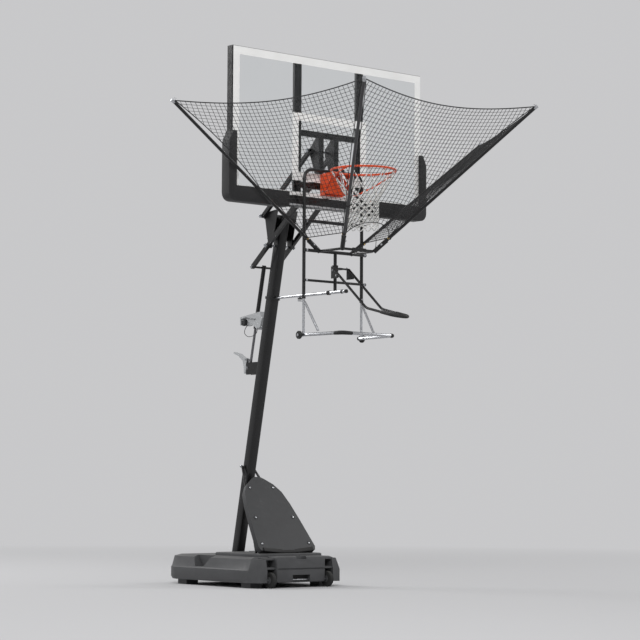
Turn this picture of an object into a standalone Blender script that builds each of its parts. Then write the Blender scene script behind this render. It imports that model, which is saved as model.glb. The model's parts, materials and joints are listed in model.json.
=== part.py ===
"""Basketball shooting machine on a portable hoop.

A fan-shaped return net on four arms hangs under the rim, on a tube frame with a swivelling chute.
The hoop is a weighted base, a leaning pole and a parallelogram lift that carries the board.
Metres, +Z up, floor at Z = 0. All sizes below are measured from the board's front face, which
faces -Y. At the end the whole is moved along Y, so that the middle of its footprint is the origin.
"""

import math

import bmesh
import bpy
from mathutils import Matrix, Vector

GAP = 0.0003
FOOTPRINT_MIDDLE_Y = 0.03386

# Backboard
BOARD_WIDTH = 1.829
BOARD_BOTTOM_Z = 2.795
BOARD_TOP_Z = 3.912
PANE_THICKNESS = 0.006
PANE_BOTTOM_Z = 2.845
PANE_INSET = 0.004
FRAME_DEPTH = 0.058
FRAME_WALL = 0.004
FRAME_FLANGE = 0.028
FRAME_LIP_TOP_Z = 2.872
CARRIAGE_BAR_X = 0.300
CARRIAGE_BAR_WIDTH = 0.066
CARRIAGE_BAR_DEPTH = 0.026
CARRIAGE_CROSS_Z = (3.345, 2.960)
CARRIAGE_CROSS_HEIGHT = 0.045
UPRIGHT_X = 0.0725
UPRIGHT_WIDTH = 0.046
LUG_REACH = 0.020

# Edge pads
PAD_OUTER = 0.043
PAD_UNDER = 0.012
PAD_FRONT = 0.022
PAD_LIP = 0.026
PAD_LIP_TOP_Z = 2.895
PAD_TOP_Z = 3.290
PAD_INNER_X = 0.400
PAD_CORNER = 0.060
PAD_BEVEL = 0.008

# Rim
RIM_Z = 3.048
RIM_INNER_RADIUS = 0.2286
RIM_ROD = 0.008
RIM_CENTRE_Y = -0.381
NECK_HALF_WIDTH = 0.084
NECK_PLATE = 0.005
MOUNT_HALF_WIDTH = 0.090
MOUNT_PLATE = 0.005
MOUNT_BOTTOM_Z = 2.893
MOUNT_TOP_Z = 3.050
MOUNT_DEPTH = 0.050
HOOD_UPPER = (-0.143, 3.018)
HOOD_LOWER = (-0.056, 2.906)
HOOD_TIP = (-0.236, 2.868)
HOOD_PLATE = 0.004
# Half of the brace, from the ring to its middle: across, ahead of and above the ring's centre
BRACE_HALF = (
    (0.2255, -0.079, -0.005),
    (0.2408, -0.029, -0.024),
    (0.2382, 0.029, -0.045),
    (0.2140, 0.065, -0.070),
    (0.1780, 0.094, -0.098),
    (0.1340, 0.119, -0.125),
    (0.0880, 0.135, -0.150),
    (0.0400, 0.142, -0.170),
    (0.0000, 0.145, -0.179),
)
RIM_HINGE_Y = -0.030
RIM_HINGE_Z = 2.922
RIM_PIN_RADIUS = 0.006
BRACE_ROD = 0.006
SPRING_WIRE = 0.0025
SPRING_TURNS = 8
SPRING_PITCH = 0.0066
SPRING_POINTS = 9

# Rim net
NET_TUBE_RADIUS = 0.112
NET_CONE_Z = 2.840
NET_BOTTOM_Z = 2.615
NET_LOOPS = 12
NET_ROWS = 4

# Shot-return machine
TUBE = 0.0125
THIN_TUBE = 0.0095
LEG_X = 0.279
LEG_Y = -0.045
LEG_BEND = 0.070
SADDLE_SIZE = (0.090, 0.070, 0.028)
LEG_END_Z = 2.118
LEG_SOCKET = 0.045
UPPER_BAR_Z = 2.686
LOWER_BAR_Z = 2.250
BAR_OVERHANG = 0.016
RING_Z = 2.470
RING_HALF_WIDTH = 0.155
RING_FRONT_Y = -0.330
RING_BEND = 0.030
PLATE_SIZE = (0.130, 0.004, 0.026)
SLEEVE_RADIUS = 0.017
SLEEVE_LENGTH = 0.120
SLEEVE_FLOOR = 0.030
POST_BOTTOM_Z = 2.190
ARM_RADIUS = 0.0115
FRONT_ARM_AZIMUTH = math.radians(33.8)
FRONT_ARM_ELEVATION = math.radians(40.3)
FRONT_ARM_LENGTH = 1.588
BACK_ARM_AZIMUTH = math.radians(90.0)
BACK_ARM_ELEVATION = math.radians(35.6)
BACK_ARM_LENGTH = 1.658

# Return net panels
PANEL_COLUMNS = 5
PANEL_LEVELS = 14
PANEL_STRAND = 0.008
PANEL_THICKNESS = 0.004
PANEL_HEM = 0.150
PANEL_TOP = 0.020
SIDE_SAG = 0.105
FRONT_SAG = 0.120
FRONT_HEM_RISE = 0.130

# Chute
CHUTE_HALF_WIDTH = 0.075
CHUTE_COLLAR_RADIUS = 0.023
CHUTE_COLLAR_Z = (2.325, 2.375)
CHUTE_HEAD = (-0.135, 2.345)
CHUTE_KNEE = (-0.505, 2.032)
CHUTE_TIP = (-0.827, 1.955)
CHUTE_BEND = 0.090
CHUTE_PLATE_THICKNESS = 0.003
CHUTE_PLATE_LENGTH = 0.210

# Foot of the machine
STAND_Z = 1.850
STAND_FRONT_Y = -0.440
STAND_FRONT_X = 0.250
STAND_BACK_Y = -0.012
STAND_BEND = 0.035
STRUT_TUBE = 0.0095
STRUT_TOP_Z = 2.098
STRUT_FOOT_Y = -0.200
STAND_WHEEL_RADIUS = 0.030
STAND_WHEEL_WIDTH = 0.018
STAND_AXLE = 0.005

# Brace from the machine to the pole
BRACE_TUBE_FRONT_Y = -0.195
BRACE_TUBE_BACK_Y = 0.367
BRACE_KNOB_INSET = 0.032
BRACE_WALL = 0.0025
BRACE_KNOB_RADIUS = 0.018
BRACE_KNOB_HEIGHT = 0.016
CLAMP_HEIGHT = 0.020
CLAMP_WALL = 0.008

# Pole
POLE_SIDE = 0.076
POLE_WALL = 0.003
POLE_CORNER = 0.012
POLE_LEAN = math.atan(0.2065)
POLE_FOOT_Y = 1.0613
POLE_FOOT_Z = 0.257
POLE_SOCKET_DEPTH = 0.060
POLE_TOP_Z = 2.800
POLE_JOINT_Z = (1.050, 1.950)

# Parallelogram lift
LIFT_ARM_X = 0.110
LIFT_ARM_HEIGHT = 0.030
LIFT_ARM_THICKNESS = 0.024
LIFT_RUN = 0.550
LIFT_RISE = 0.440
LIFT_TAIL = 0.240
POLE_PIVOT_UPPER = (0.649, 2.797)
POLE_PIVOT_LOWER = (0.586, 2.568)
PIN_RADIUS = 0.008
PIN_REACH = 0.138
BRACKET_PLATE = 0.006
BRACKET_OUTLINE = (
    (0.488, 2.838),
    (0.640, 2.825),
    (0.664, 2.808),
    (0.664, 2.786),
    (0.640, 2.772),
    (0.606, 2.600),
    (0.606, 2.548),
    (0.562, 2.548),
    (0.548, 2.600),
)
BRACKET_WEB_Z = (2.610, 2.790)

# Height actuator
ACTUATOR_FOOT = (0.935, 1.660)
ACTUATOR_ROD = 0.0100
ACTUATOR_TUBE = 0.0160
ACTUATOR_BORE = 0.0115
ACTUATOR_TUBE_FOOT = 0.302
ACTUATOR_TUBE_HEAD = 0.018
ACTUATOR_ROD_LENGTH = 0.690
ACTUATOR_EYE = 0.016
ACTUATOR_FORK = 0.020
FORK_PLATE = 0.006
FORK_BACK_Y = 0.952
FORK_BOTTOM_Z = 1.598
FORK_TOP_Z = 1.702
FORK_SLOT_PLAY = 0.010
ACTUATOR_PIN = 0.006
HOUSING_HALF_WIDTH = 0.024
HOUSING_WEB_HALF_WIDTH = 0.013
HOUSING_BORE = 0.0163
HOUSING_SHELL = (
    (1.036, 2.050),
    (0.790, 2.082),
    (0.763, 2.031),
    (0.790, 1.962),
    (0.823, 1.946),
    (0.888, 1.994),
    (0.836, 2.028),
    (0.961, 2.046),
    (1.026, 2.036),
    (1.022, 1.990),
    (1.034, 1.988),
)
HOUSING_WEB = (
    (1.028, 2.042),
    (0.800, 2.066),
    (0.800, 1.975),
    (0.900, 1.985),
    (0.960, 1.978),
    (1.028, 1.992),
)
KNOB_PLACE = (0.980, 2.007)
KNOB_RADIUS = 0.025
KNOB_WIDTH = 0.024
KNOB_SHAFT = 0.006
TETHER_RADIUS = 0.0025
LEVER_HALF_WIDTH = 0.015
LEVER_LUG = 0.006
LEVER_PIN = 0.004
LEVER_PIVOT = (0.976, 1.722)

# Base
TANK_HALF_WIDTH = 0.430
TANK_FRONT_Y = 0.396
TANK_BACK_Y = 1.413
TANK_BOTTOM_Z = 0.038
TANK_RIM_Z = 0.130
TANK_SHOULDER_Z = 0.212
TANK_TOP_Z = 0.226
TANK_CORNER = (0.048, 0.108)
TANK_SLOPE = 0.030
TANK_CROWN = 0.040
DECK_HALF_WIDTH = 0.300
DECK_Y = (0.420, 0.965)
DECK_TOP_Z = 0.250
NOSE_HALF_WIDTH = 0.232
NOSE_FRONT_Y = 0.298
NOSE_TOP_Z = 0.232
LOBE_INNER_X = 0.316
LOBE_FRONT_Y = 0.308
LOBE_CHAMFER = (0.382, 0.390)
LOBE_TOP_Z = 0.213
WELL_ROOF_Z = (0.138, 0.153)
WELL_TOP_Z = (0.206, 0.220)
RECESS_OUTLINE = ((0.951, 0.142), (1.052, 0.142), (1.125, 0.270), (0.834, 0.270))
RECESS_DEPTH = 0.075
HANDHOLD_HALF_WIDTH = 0.083
HANDHOLD_Z = (0.047, 0.095)
HANDHOLD_DEPTH = 0.045
NOTCH_HALF_WIDTH = 0.048
GROOVE_HEIGHT = 0.012
FOOT_SIZE = 0.110
WHEEL_X = 0.274
WHEEL_RADIUS = 0.058
WHEEL_WIDTH = 0.032
WHEEL_Y = 0.325
WHEEL_LIFT = 0.0006
AXLE_RADIUS = 0.008
CAP_RADIUS = 0.032
CAP_HEIGHT = 0.010
CAP_PLACE = (0.240, 1.200)

# Pole struts and front cover
STRUT_RADIUS = 0.0090
STRUT_POLE = (0.960, 0.900)
STRUT_BASE = (0.240, 0.538)
COVER_FOOT = (0.468, 0.2625)
COVER_HEAD = (0.858, 0.8065)
COVER_DEPTH = 0.042
COVER_WALL = 0.004
COVER_OUTLINE = (
    (0.0, 0.258),
    (0.030, 0.272),
    (0.260, 0.238),
    (0.420, 0.210),
    (0.530, 0.178),
    (0.600, 0.128),
    (0.650, 0.062),
)

# Places worked out from the driving dimensions
FRAME_BACK_Y = PANE_THICKNESS + GAP + FRAME_DEPTH
BAR_Y = LEG_Y - 2 * TUBE + 2 * GAP
RIM_RADIUS = RIM_INNER_RADIUS + RIM_ROD
NECK_TOP_Z = RIM_Z + RIM_ROD
TOP_BAR_Z = NECK_TOP_Z + GAP + SADDLE_SIZE[2] / 2
STRUT_BOTTOM_Z = STAND_Z + TUBE + GAP
BRACE_Z = POST_BOTTOM_Z - GAP - TUBE
LIFT_LENGTH = math.hypot(LIFT_RUN, LIFT_RISE)
BOARD_PIVOT_UPPER = (POLE_PIVOT_UPPER[0] - LIFT_RUN, POLE_PIVOT_UPPER[1] + LIFT_RISE)
BOARD_PIVOT_LOWER = (POLE_PIVOT_LOWER[0] - LIFT_RUN, POLE_PIVOT_LOWER[1] + LIFT_RISE)
LIFT_TAIL_END = (
    POLE_PIVOT_LOWER[0] + LIFT_TAIL * LIFT_RUN / LIFT_LENGTH,
    POLE_PIVOT_LOWER[1] - LIFT_TAIL * LIFT_RISE / LIFT_LENGTH,
)
FORK_CHEEK_X = ACTUATOR_FORK + FORK_PLATE / 2
CHEEK_X = LIFT_ARM_X - LIFT_ARM_THICKNESS / 2 - GAP - BRACKET_PLATE / 2
WHEEL_Z = WHEEL_RADIUS + WHEEL_LIFT
PARTS = None
CUTTERS = None


# Scene, materials and small geometry helpers


def clear_scene():
    """Empty the file of objects and make one collection for parts and one for cutters."""
    global PARTS, CUTTERS
    for obj in list(bpy.data.objects):
        bpy.data.objects.remove(obj, do_unlink=True)
    PARTS = bpy.data.collections.new("basketball_shooting_machine")
    CUTTERS = bpy.data.collections.new("cutters")
    for collection in (PARTS, CUTTERS):
        bpy.context.scene.collection.children.link(collection)


def material(name, colour, roughness, metallic=0.0):
    """A Principled material with the part's colour, roughness and metallic value."""
    made = bpy.data.materials.get(name)
    if made:
        return made
    made = bpy.data.materials.new(name)
    made.use_nodes = True
    shader = made.node_tree.nodes["Principled BSDF"]
    shader.inputs["Base Color"].default_value = (*colour, 1.0)
    shader.inputs["Roughness"].default_value = roughness
    shader.inputs["Metallic"].default_value = metallic
    made.diffuse_color = (*colour, 1.0)
    return made


def black_steel(name):
    return material(name, (0.025, 0.025, 0.028), 0.38, 0.0)


def bright_steel(name):
    return material(name, (0.62, 0.63, 0.65), 0.28, 1.0)


def grey_plastic(name):
    return material(name, (0.075, 0.08, 0.088), 0.55)


def red_steel(name):
    return material(name, (0.72, 0.10, 0.03), 0.35)


def add_object(name, mesh, look=None):
    """Put a mesh in the parts collection under its node name, with its own material."""
    obj = bpy.data.objects.new(name, mesh)
    PARTS.objects.link(obj)
    if look:
        mesh.materials.clear()
        mesh.materials.append(look(name) if callable(look) else look)
    return obj


def place(obj, matrix):
    """Set the object's world matrix and let the scene see it."""
    obj.matrix_world = matrix
    bpy.context.view_layer.update()


def smooth(obj, degrees=40):
    """Shade a round piece smooth with its hard edges kept."""
    obj.data.shade_smooth()
    obj.data.set_sharp_from_angle(angle=math.radians(degrees))


def bevel(obj, width, segments=2):
    """Round the object's sharp edges."""
    modifier = obj.modifiers.new("Rounded edges", "BEVEL")
    modifier.width = width
    modifier.segments = segments
    modifier.limit_method = "ANGLE"
    modifier.angle_limit = math.radians(35)


def bevel_convex(obj, width, segments=1):
    """Round only the outward edges, so that an inner corner stays clear for what it wraps."""
    mesh = obj.data
    weights = mesh.attributes.new("bevel_weight_edge", "FLOAT", "EDGE")
    shape = bmesh.new()
    shape.from_mesh(mesh)
    sharp = [
        1.0 if edge.is_convex and edge.calc_face_angle(0.0) > math.radians(35) else 0.0
        for edge in shape.edges
    ]
    shape.free()
    weights.data.foreach_set("value", sharp)
    modifier = obj.modifiers.new("Rounded edges", "BEVEL")
    modifier.width = width
    modifier.segments = segments
    modifier.limit_method = "WEIGHT"


def bake(obj):
    """Replace the object's mesh with its evaluated mesh and drop its modifiers."""
    bpy.context.view_layer.update()
    graph = bpy.context.evaluated_depsgraph_get()
    result = bpy.data.meshes.new_from_object(obj.evaluated_get(graph))
    obj.modifiers.clear()
    obj.data = result


def combine(target, others, operation="UNION"):
    """Join the others to the target, or cut them out of it, one exact Boolean at a time."""
    for other in others:
        modifier = target.modifiers.new(operation.title(), "BOOLEAN")
        modifier.operation = operation
        modifier.object = other
        bake(target)
        bpy.data.objects.remove(other, do_unlink=True)
    return target


def direction_matrix(start, end):
    """A matrix at the middle of start and end whose Z axis runs from one to the other."""
    start, end = Vector(start), Vector(end)
    turn = (end - start).to_track_quat("Z", "Y").to_matrix().to_4x4()
    return Matrix.Translation((start + end) / 2) @ turn


def side_plane(x=0.0):
    """Local X, Y and Z become world Y, Z and X: an outline drawn in the side view."""
    return Matrix(((0, 0, 1, x), (1, 0, 0, 0), (0, 1, 0, 0), (0, 0, 0, 1)))


def front_plane(y=0.0):
    """Local X, Y and Z become world X, Z and -Y: an outline drawn in the front view."""
    return Matrix(((1, 0, 0, 0), (0, 0, -1, y), (0, 1, 0, 0), (0, 0, 0, 1)))


# Basic shapes


def box(name, low, high, look=None, width=0.0):
    """A box between two corners, its edges rounded by width."""
    low, high = Vector(low), Vector(high)
    return sized_box(name, high - low, Matrix.Translation((low + high) / 2), look, width)


def sized_box(name, size, matrix, look=None, width=0.0):
    """A box of a size, centred and turned by a matrix."""
    mesh = bpy.data.meshes.new(name)
    shape = bmesh.new()
    bmesh.ops.create_cube(shape, size=1.0)
    bmesh.ops.scale(shape, vec=size, verts=shape.verts)
    shape.to_mesh(mesh)
    shape.free()
    obj = add_object(name, mesh, look)
    place(obj, matrix)
    if width:
        bevel(obj, width)
    return obj


def rod(name, start, end, radius, look=None, sides=14):
    """A round bar from start to end."""
    length = (Vector(end) - Vector(start)).length
    mesh = bpy.data.meshes.new(name)
    shape = bmesh.new()
    bmesh.ops.create_cone(
        shape, cap_ends=True, segments=sides, radius1=radius, radius2=radius, depth=length
    )
    shape.to_mesh(mesh)
    shape.free()
    obj = add_object(name, mesh, look)
    place(obj, direction_matrix(start, end))
    smooth(obj)
    return obj


def cross_rod(name, half_length, place_yz, radius, look=None, sides=14):
    """A round bar along X, centred on the plane X = 0."""
    y, z = place_yz
    return rod(name, (-half_length, y, z), (half_length, y, z), radius, look, sides)


def rounded_path(points, radius, steps=4):
    """The points of a route whose corners are replaced by arcs of a radius."""
    points = [Vector(point) for point in points]
    route = [points[0]]
    for before, corner, after in zip(points, points[1:], points[2:]):
        arriving = (corner - before).normalized()
        leaving = (after - corner).normalized()
        angle = arriving.angle(leaving)
        tangent = radius * math.tan(angle / 2)
        inward = (leaving - arriving).normalized()
        centre = corner + inward * (radius / math.cos(angle / 2))
        spoke = corner - arriving * tangent - centre
        axis = arriving.cross(leaving)
        for step in range(steps + 1):
            route.append(centre + Matrix.Rotation(angle * step / steps, 3, axis) @ spoke)
    route.append(points[-1])
    return route


def welded_mesh(obj, look=None):
    """Turn a curve object into a mesh object of the same name with its caps welded on."""
    name, matrix = obj.name, obj.matrix_world.copy()
    bpy.context.view_layer.update()
    graph = bpy.context.evaluated_depsgraph_get()
    mesh = bpy.data.meshes.new_from_object(obj.evaluated_get(graph))
    bpy.data.objects.remove(obj, do_unlink=True)
    shape = bmesh.new()
    shape.from_mesh(mesh)
    bmesh.ops.remove_doubles(shape, verts=shape.verts, dist=0.00002)
    bmesh.ops.recalc_face_normals(shape, faces=shape.faces)
    shape.to_mesh(mesh)
    shape.free()
    made = add_object(name, mesh, look)
    place(made, matrix)
    return made


def bent_tube(name, points, radius, look=None, resolution=3, cyclic=False):
    """A tube along a list of points, with closed ends."""
    curve = bpy.data.curves.new(name, "CURVE")
    curve.dimensions = "3D"
    curve.bevel_depth = radius
    curve.bevel_resolution = resolution
    curve.use_fill_caps = True
    spline = curve.splines.new("POLY")
    spline.points.add(len(points) - 1)
    for target, point in zip(spline.points, points):
        target.co = (*point, 1.0)
    spline.use_cyclic_u = cyclic
    obj = bpy.data.objects.new(name, curve)
    PARTS.objects.link(obj)
    made = welded_mesh(obj, look)
    smooth(made, 50)
    return made


def flat_plate(name, outlines, thickness, matrix, look=None):
    """A plate cut to a closed outline, with any further outlines left open as holes."""
    curve = bpy.data.curves.new(name, "CURVE")
    curve.dimensions = "2D"
    curve.fill_mode = "BOTH"
    curve.extrude = thickness / 2
    for outline in outlines:
        spline = curve.splines.new("POLY")
        spline.points.add(len(outline) - 1)
        for target, (x, y) in zip(spline.points, outline):
            target.co = (x, y, 0.0, 1.0)
        spline.use_cyclic_u = True
    obj = bpy.data.objects.new(name, curve)
    PARTS.objects.link(obj)
    place(obj, matrix)
    return welded_mesh(obj, look)


def circle(centre, radius, sides=14):
    """The points of a round outline."""
    turns = (2 * math.pi * step / sides for step in range(sides))
    return [(centre[0] + radius * math.cos(t), centre[1] + radius * math.sin(t)) for t in turns]


def rectangle(left, bottom, right, top):
    """The points of a rectangular outline."""
    return [(left, bottom), (right, bottom), (right, top), (left, top)]


def rounded_rectangle(left, bottom, right, top, radius, steps=4):
    """The points of a rectangle with round corners."""
    corners = (
        (right - radius, top - radius, 0.0),
        (left + radius, top - radius, 0.5),
        (left + radius, bottom + radius, 1.0),
        (right - radius, bottom + radius, 1.5),
    )
    points = []
    for x, y, half_turns in corners:
        for step in range(steps + 1):
            angle = math.pi * (half_turns + 0.5 * step / steps)
            points.append((x + radius * math.cos(angle), y + radius * math.sin(angle)))
    return points


def link_outline(start, end, half_height, steps=6):
    """The outline of a flat bar with round ends, from one pivot to another."""
    along = Vector(end) - Vector(start)
    heading = math.atan2(along.y, along.x)
    points = []
    for centre, turn in ((end, -0.5), (start, 0.5)):
        for step in range(steps + 1):
            angle = heading + math.pi * (turn + step / steps)
            offset = Vector((math.cos(angle), math.sin(angle))) * half_height
            points.append(tuple(Vector(centre) + offset))
    return points


def loft(name, sections, look=None):
    """A closed solid through rings of points that all have the same count."""
    mesh = bpy.data.meshes.new(name)
    shape = bmesh.new()
    rings = [[shape.verts.new(point) for point in section] for section in sections]
    for lower, upper in zip(rings, rings[1:]):
        for i in range(len(lower)):
            j = (i + 1) % len(lower)
            shape.faces.new((lower[i], lower[j], upper[j], upper[i]))
    shape.faces.new(reversed(rings[0]))
    shape.faces.new(rings[-1])
    bmesh.ops.recalc_face_normals(shape, faces=shape.faces)
    shape.to_mesh(mesh)
    shape.free()
    return add_object(name, mesh, look)


def knotted_net(name, surface, columns, levels, strand, thickness, closed, look):
    """A flat net of diamonds laid on surface(u, v), with u and v from 0 to 1.

    Knots stand where column + level is odd. Between them each diamond is a hole, and the cells on
    the open edges are half diamonds, so that a cord runs along each edge. A closed net goes round
    in u and keeps its pointed loops at both ends.
    """
    mesh = bpy.data.meshes.new(name)
    shape = bmesh.new()
    knots = {}
    wide = 2 * columns

    def knot(column, level):
        key = (column % wide if closed else column, level)
        if key not in knots:
            knots[key] = shape.verts.new(surface(key[0] / wide, level / levels))
        return knots[key]

    last = wide if closed else wide + 1
    for level in range(levels + 1):
        for column in range(last):
            if (column + level) % 2:
                continue
            on_end = level in (0, levels)
            on_side = not closed and column in (0, wide)
            if closed and on_end:
                continue
            around = [(column, level - 1), (column + 1, level), (column, level + 1), (column - 1, level)]
            if on_end and on_side:
                around.append((column, level))
            inside = [
                (a, b) for a, b in around if 0 <= b <= levels and (closed or 0 <= a <= wide)
            ]
            middle = Vector((column, level)) * (0.9999 if on_end and on_side else 1.0)
            inside.sort(key=lambda spot: math.atan2(spot[1] - middle.y, spot[0] - middle.x))
            shape.faces.new([knot(a, b) for a, b in inside])
    bmesh.ops.recalc_face_normals(shape, faces=shape.faces)
    cells = list(shape.faces)
    bmesh.ops.inset_individual(shape, faces=cells, thickness=strand / 2, use_even_offset=True)
    bmesh.ops.delete(shape, geom=cells, context="FACES")
    shape.to_mesh(mesh)
    shape.free()
    obj = add_object(name, mesh, look)
    modifier = obj.modifiers.new("Cord thickness", "SOLIDIFY")
    modifier.thickness = thickness
    modifier.offset = 0.0
    return obj


# Backboard and its frame


def add_pane():
    half = BOARD_WIDTH / 2 - PANE_INSET
    low = (-half, 0.0, PANE_BOTTOM_Z)
    high = (half, PANE_THICKNESS, BOARD_TOP_Z - PANE_INSET)
    return box("board_pane", low, high, material("board_pane", (0.75, 0.8, 0.82), 0.08))


def add_board_frame():
    """An angle frame behind the pane's edge, with a deeper channel along the bottom."""
    half = BOARD_WIDTH / 2
    front = PANE_THICKNESS + GAP
    rim = flat_plate(
        "board_frame",
        [
            rectangle(-half, BOARD_BOTTOM_Z, half, BOARD_TOP_Z),
            rectangle(
                -half + FRAME_WALL,
                BOARD_BOTTOM_Z + FRAME_WALL,
                half - FRAME_WALL,
                BOARD_TOP_Z - FRAME_WALL,
            ),
        ],
        FRAME_DEPTH,
        front_plane(front + FRAME_DEPTH / 2),
        black_steel,
    )
    flange = flat_plate(
        "frame_flange",
        [
            rectangle(-half, BOARD_BOTTOM_Z, half, BOARD_TOP_Z),
            rectangle(
                -half + FRAME_FLANGE,
                FRAME_LIP_TOP_Z,
                half - FRAME_FLANGE,
                BOARD_TOP_Z - FRAME_FLANGE,
            ),
        ],
        FRAME_WALL,
        front_plane(front + FRAME_WALL / 2),
    )
    under = PANE_BOTTOM_Z - GAP
    web = box("frame_web", (-half, -FRAME_WALL, under - FRAME_WALL), (half, front + FRAME_WALL, under))
    lip_low = (-half, -FRAME_WALL, BOARD_BOTTOM_Z)
    lip = box("frame_lip", lip_low, (half, -GAP, FRAME_LIP_TOP_Z))
    return combine(rim, [flange, web, lip])


def add_carriage():
    """Bars behind the pane that carry the lift pivots, with lugs around both pins."""
    front = PANE_THICKNESS + GAP
    frame_inner = FRAME_WALL + GAP
    back = front + CARRIAGE_BAR_DEPTH
    low_z = BOARD_BOTTOM_Z + frame_inner
    high_z = BOARD_TOP_Z - frame_inner
    start = front + FRAME_WALL + GAP
    name = "carriage_frame"
    half = CARRIAGE_BAR_WIDTH / 2
    left = box(name, (-CARRIAGE_BAR_X - half, start, low_z), (-CARRIAGE_BAR_X + half, back, high_z), black_steel)
    others = [
        box("bar", (CARRIAGE_BAR_X - half, start, low_z), (CARRIAGE_BAR_X + half, back, high_z))
    ]
    for z in CARRIAGE_CROSS_Z:
        tall = CARRIAGE_CROSS_HEIGHT / 2
        inset = 0.002
        low = (-CARRIAGE_BAR_X, start + inset, z - tall)
        others.append(box("cross", low, (CARRIAGE_BAR_X, back - inset, z + tall)))
    for side in (-1, 1):
        outline = [
            (start + 0.001, CARRIAGE_CROSS_Z[1]),
            (BOARD_PIVOT_LOWER[0] + LUG_REACH, CARRIAGE_CROSS_Z[1]),
            (BOARD_PIVOT_LOWER[0] + LUG_REACH, BOARD_PIVOT_LOWER[1] + 2 * LUG_REACH),
            (BOARD_PIVOT_UPPER[0] + LUG_REACH, BOARD_PIVOT_UPPER[1] - LUG_REACH),
            (BOARD_PIVOT_UPPER[0] + LUG_REACH, BOARD_PIVOT_UPPER[1] + LUG_REACH),
            (back, CARRIAGE_CROSS_Z[0]),
            (start + 0.001, CARRIAGE_CROSS_Z[0]),
        ]
        holes = [circle(spot, PIN_RADIUS + GAP) for spot in (BOARD_PIVOT_UPPER, BOARD_PIVOT_LOWER)]
        others.append(
            flat_plate("upright", [outline, *holes], UPRIGHT_WIDTH, side_plane(side * UPRIGHT_X))
        )
    return combine(left, others)


def add_pad(name, side):
    """An L-shaped pad round a lower corner of the board, with a lip over its front edge."""
    edge = BOARD_WIDTH / 2 + GAP
    bottom = BOARD_BOTTOM_Z - GAP
    outer_x, outer_z = edge + PAD_OUTER, bottom - PAD_UNDER
    front = -FRAME_WALL - GAP - PAD_FRONT

    def l_outline(inner_x, inner_z, corner):
        """The L between an inner and the outer edge, drawn for the right side."""
        arc = [
            (
                outer_x - corner + corner * math.sin(math.pi / 2 * (1 - step / 4)),
                outer_z + corner - corner * math.cos(math.pi / 2 * (1 - step / 4)),
            )
            for step in range(5)
        ]
        points = [(outer_x, PAD_TOP_Z), *arc, (PAD_INNER_X, outer_z), (PAD_INNER_X, inner_z)]
        points += [(inner_x, inner_z), (inner_x, PAD_TOP_Z)]
        return [(side * x, z) for x, z in points]

    depth = FRAME_BACK_Y - front
    band = flat_plate(
        name,
        [l_outline(edge, bottom, PAD_CORNER)],
        depth,
        front_plane(front + depth / 2),
        material(name, (0.03, 0.03, 0.033), 0.7),
    )
    lip = flat_plate(
        "lip",
        [l_outline(edge - PAD_LIP, PAD_LIP_TOP_Z, PAD_CORNER)],
        PAD_FRONT,
        front_plane(front + PAD_FRONT / 2),
    )
    pad = combine(band, [lip])
    bevel_convex(pad, PAD_BEVEL)
    return pad


# Rim, its mount and its net


def add_rim_mount():
    """A channel on the board's face: back plate, two flanges and a short bottom plate."""
    back = -GAP
    wide = MOUNT_HALF_WIDTH
    name = "rim_mount"
    plate = box(name, (-wide, back - MOUNT_PLATE, MOUNT_BOTTOM_Z), (wide, back, MOUNT_TOP_Z), red_steel)
    others = []
    for side in (-1, 1):
        outline = rectangle(-MOUNT_DEPTH, MOUNT_BOTTOM_Z, back - 0.001, MOUNT_TOP_Z)
        hole = circle((RIM_HINGE_Y, RIM_HINGE_Z), RIM_PIN_RADIUS + GAP)
        middle = side_plane(side * (wide - MOUNT_PLATE / 2))
        others.append(flat_plate("flange", [outline, hole], MOUNT_PLATE, middle))
    front = RIM_HINGE_Y - RIM_PIN_RADIUS
    low = (-wide + 0.001, front, MOUNT_BOTTOM_Z)
    others.append(box("floor", low, (wide - 0.001, back - 0.001, MOUNT_BOTTOM_Z + MOUNT_PLATE)))
    return combine(plate, others)


def add_hood_side(side):
    """A triangular plate that closes the hood from one cheek to the middle of the brace."""
    wide = side * (NECK_HALF_WIDTH - 0.001)
    upper = (wide, HOOD_UPPER[0], HOOD_UPPER[1])
    lower = (wide, HOOD_LOWER[0], HOOD_LOWER[1])
    tip = (0, HOOD_TIP[0], HOOD_TIP[1])
    plate = bmesh.new()
    for point in (upper, lower, tip):
        plate.verts.new(point)
        plate.verts.new((point[0], point[1] + HOOD_PLATE, point[2] + HOOD_PLATE))
    bmesh.ops.convex_hull(plate, input=plate.verts)
    mesh = bpy.data.meshes.new("hood")
    plate.to_mesh(mesh)
    plate.free()
    return add_object("hood", mesh)


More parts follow.
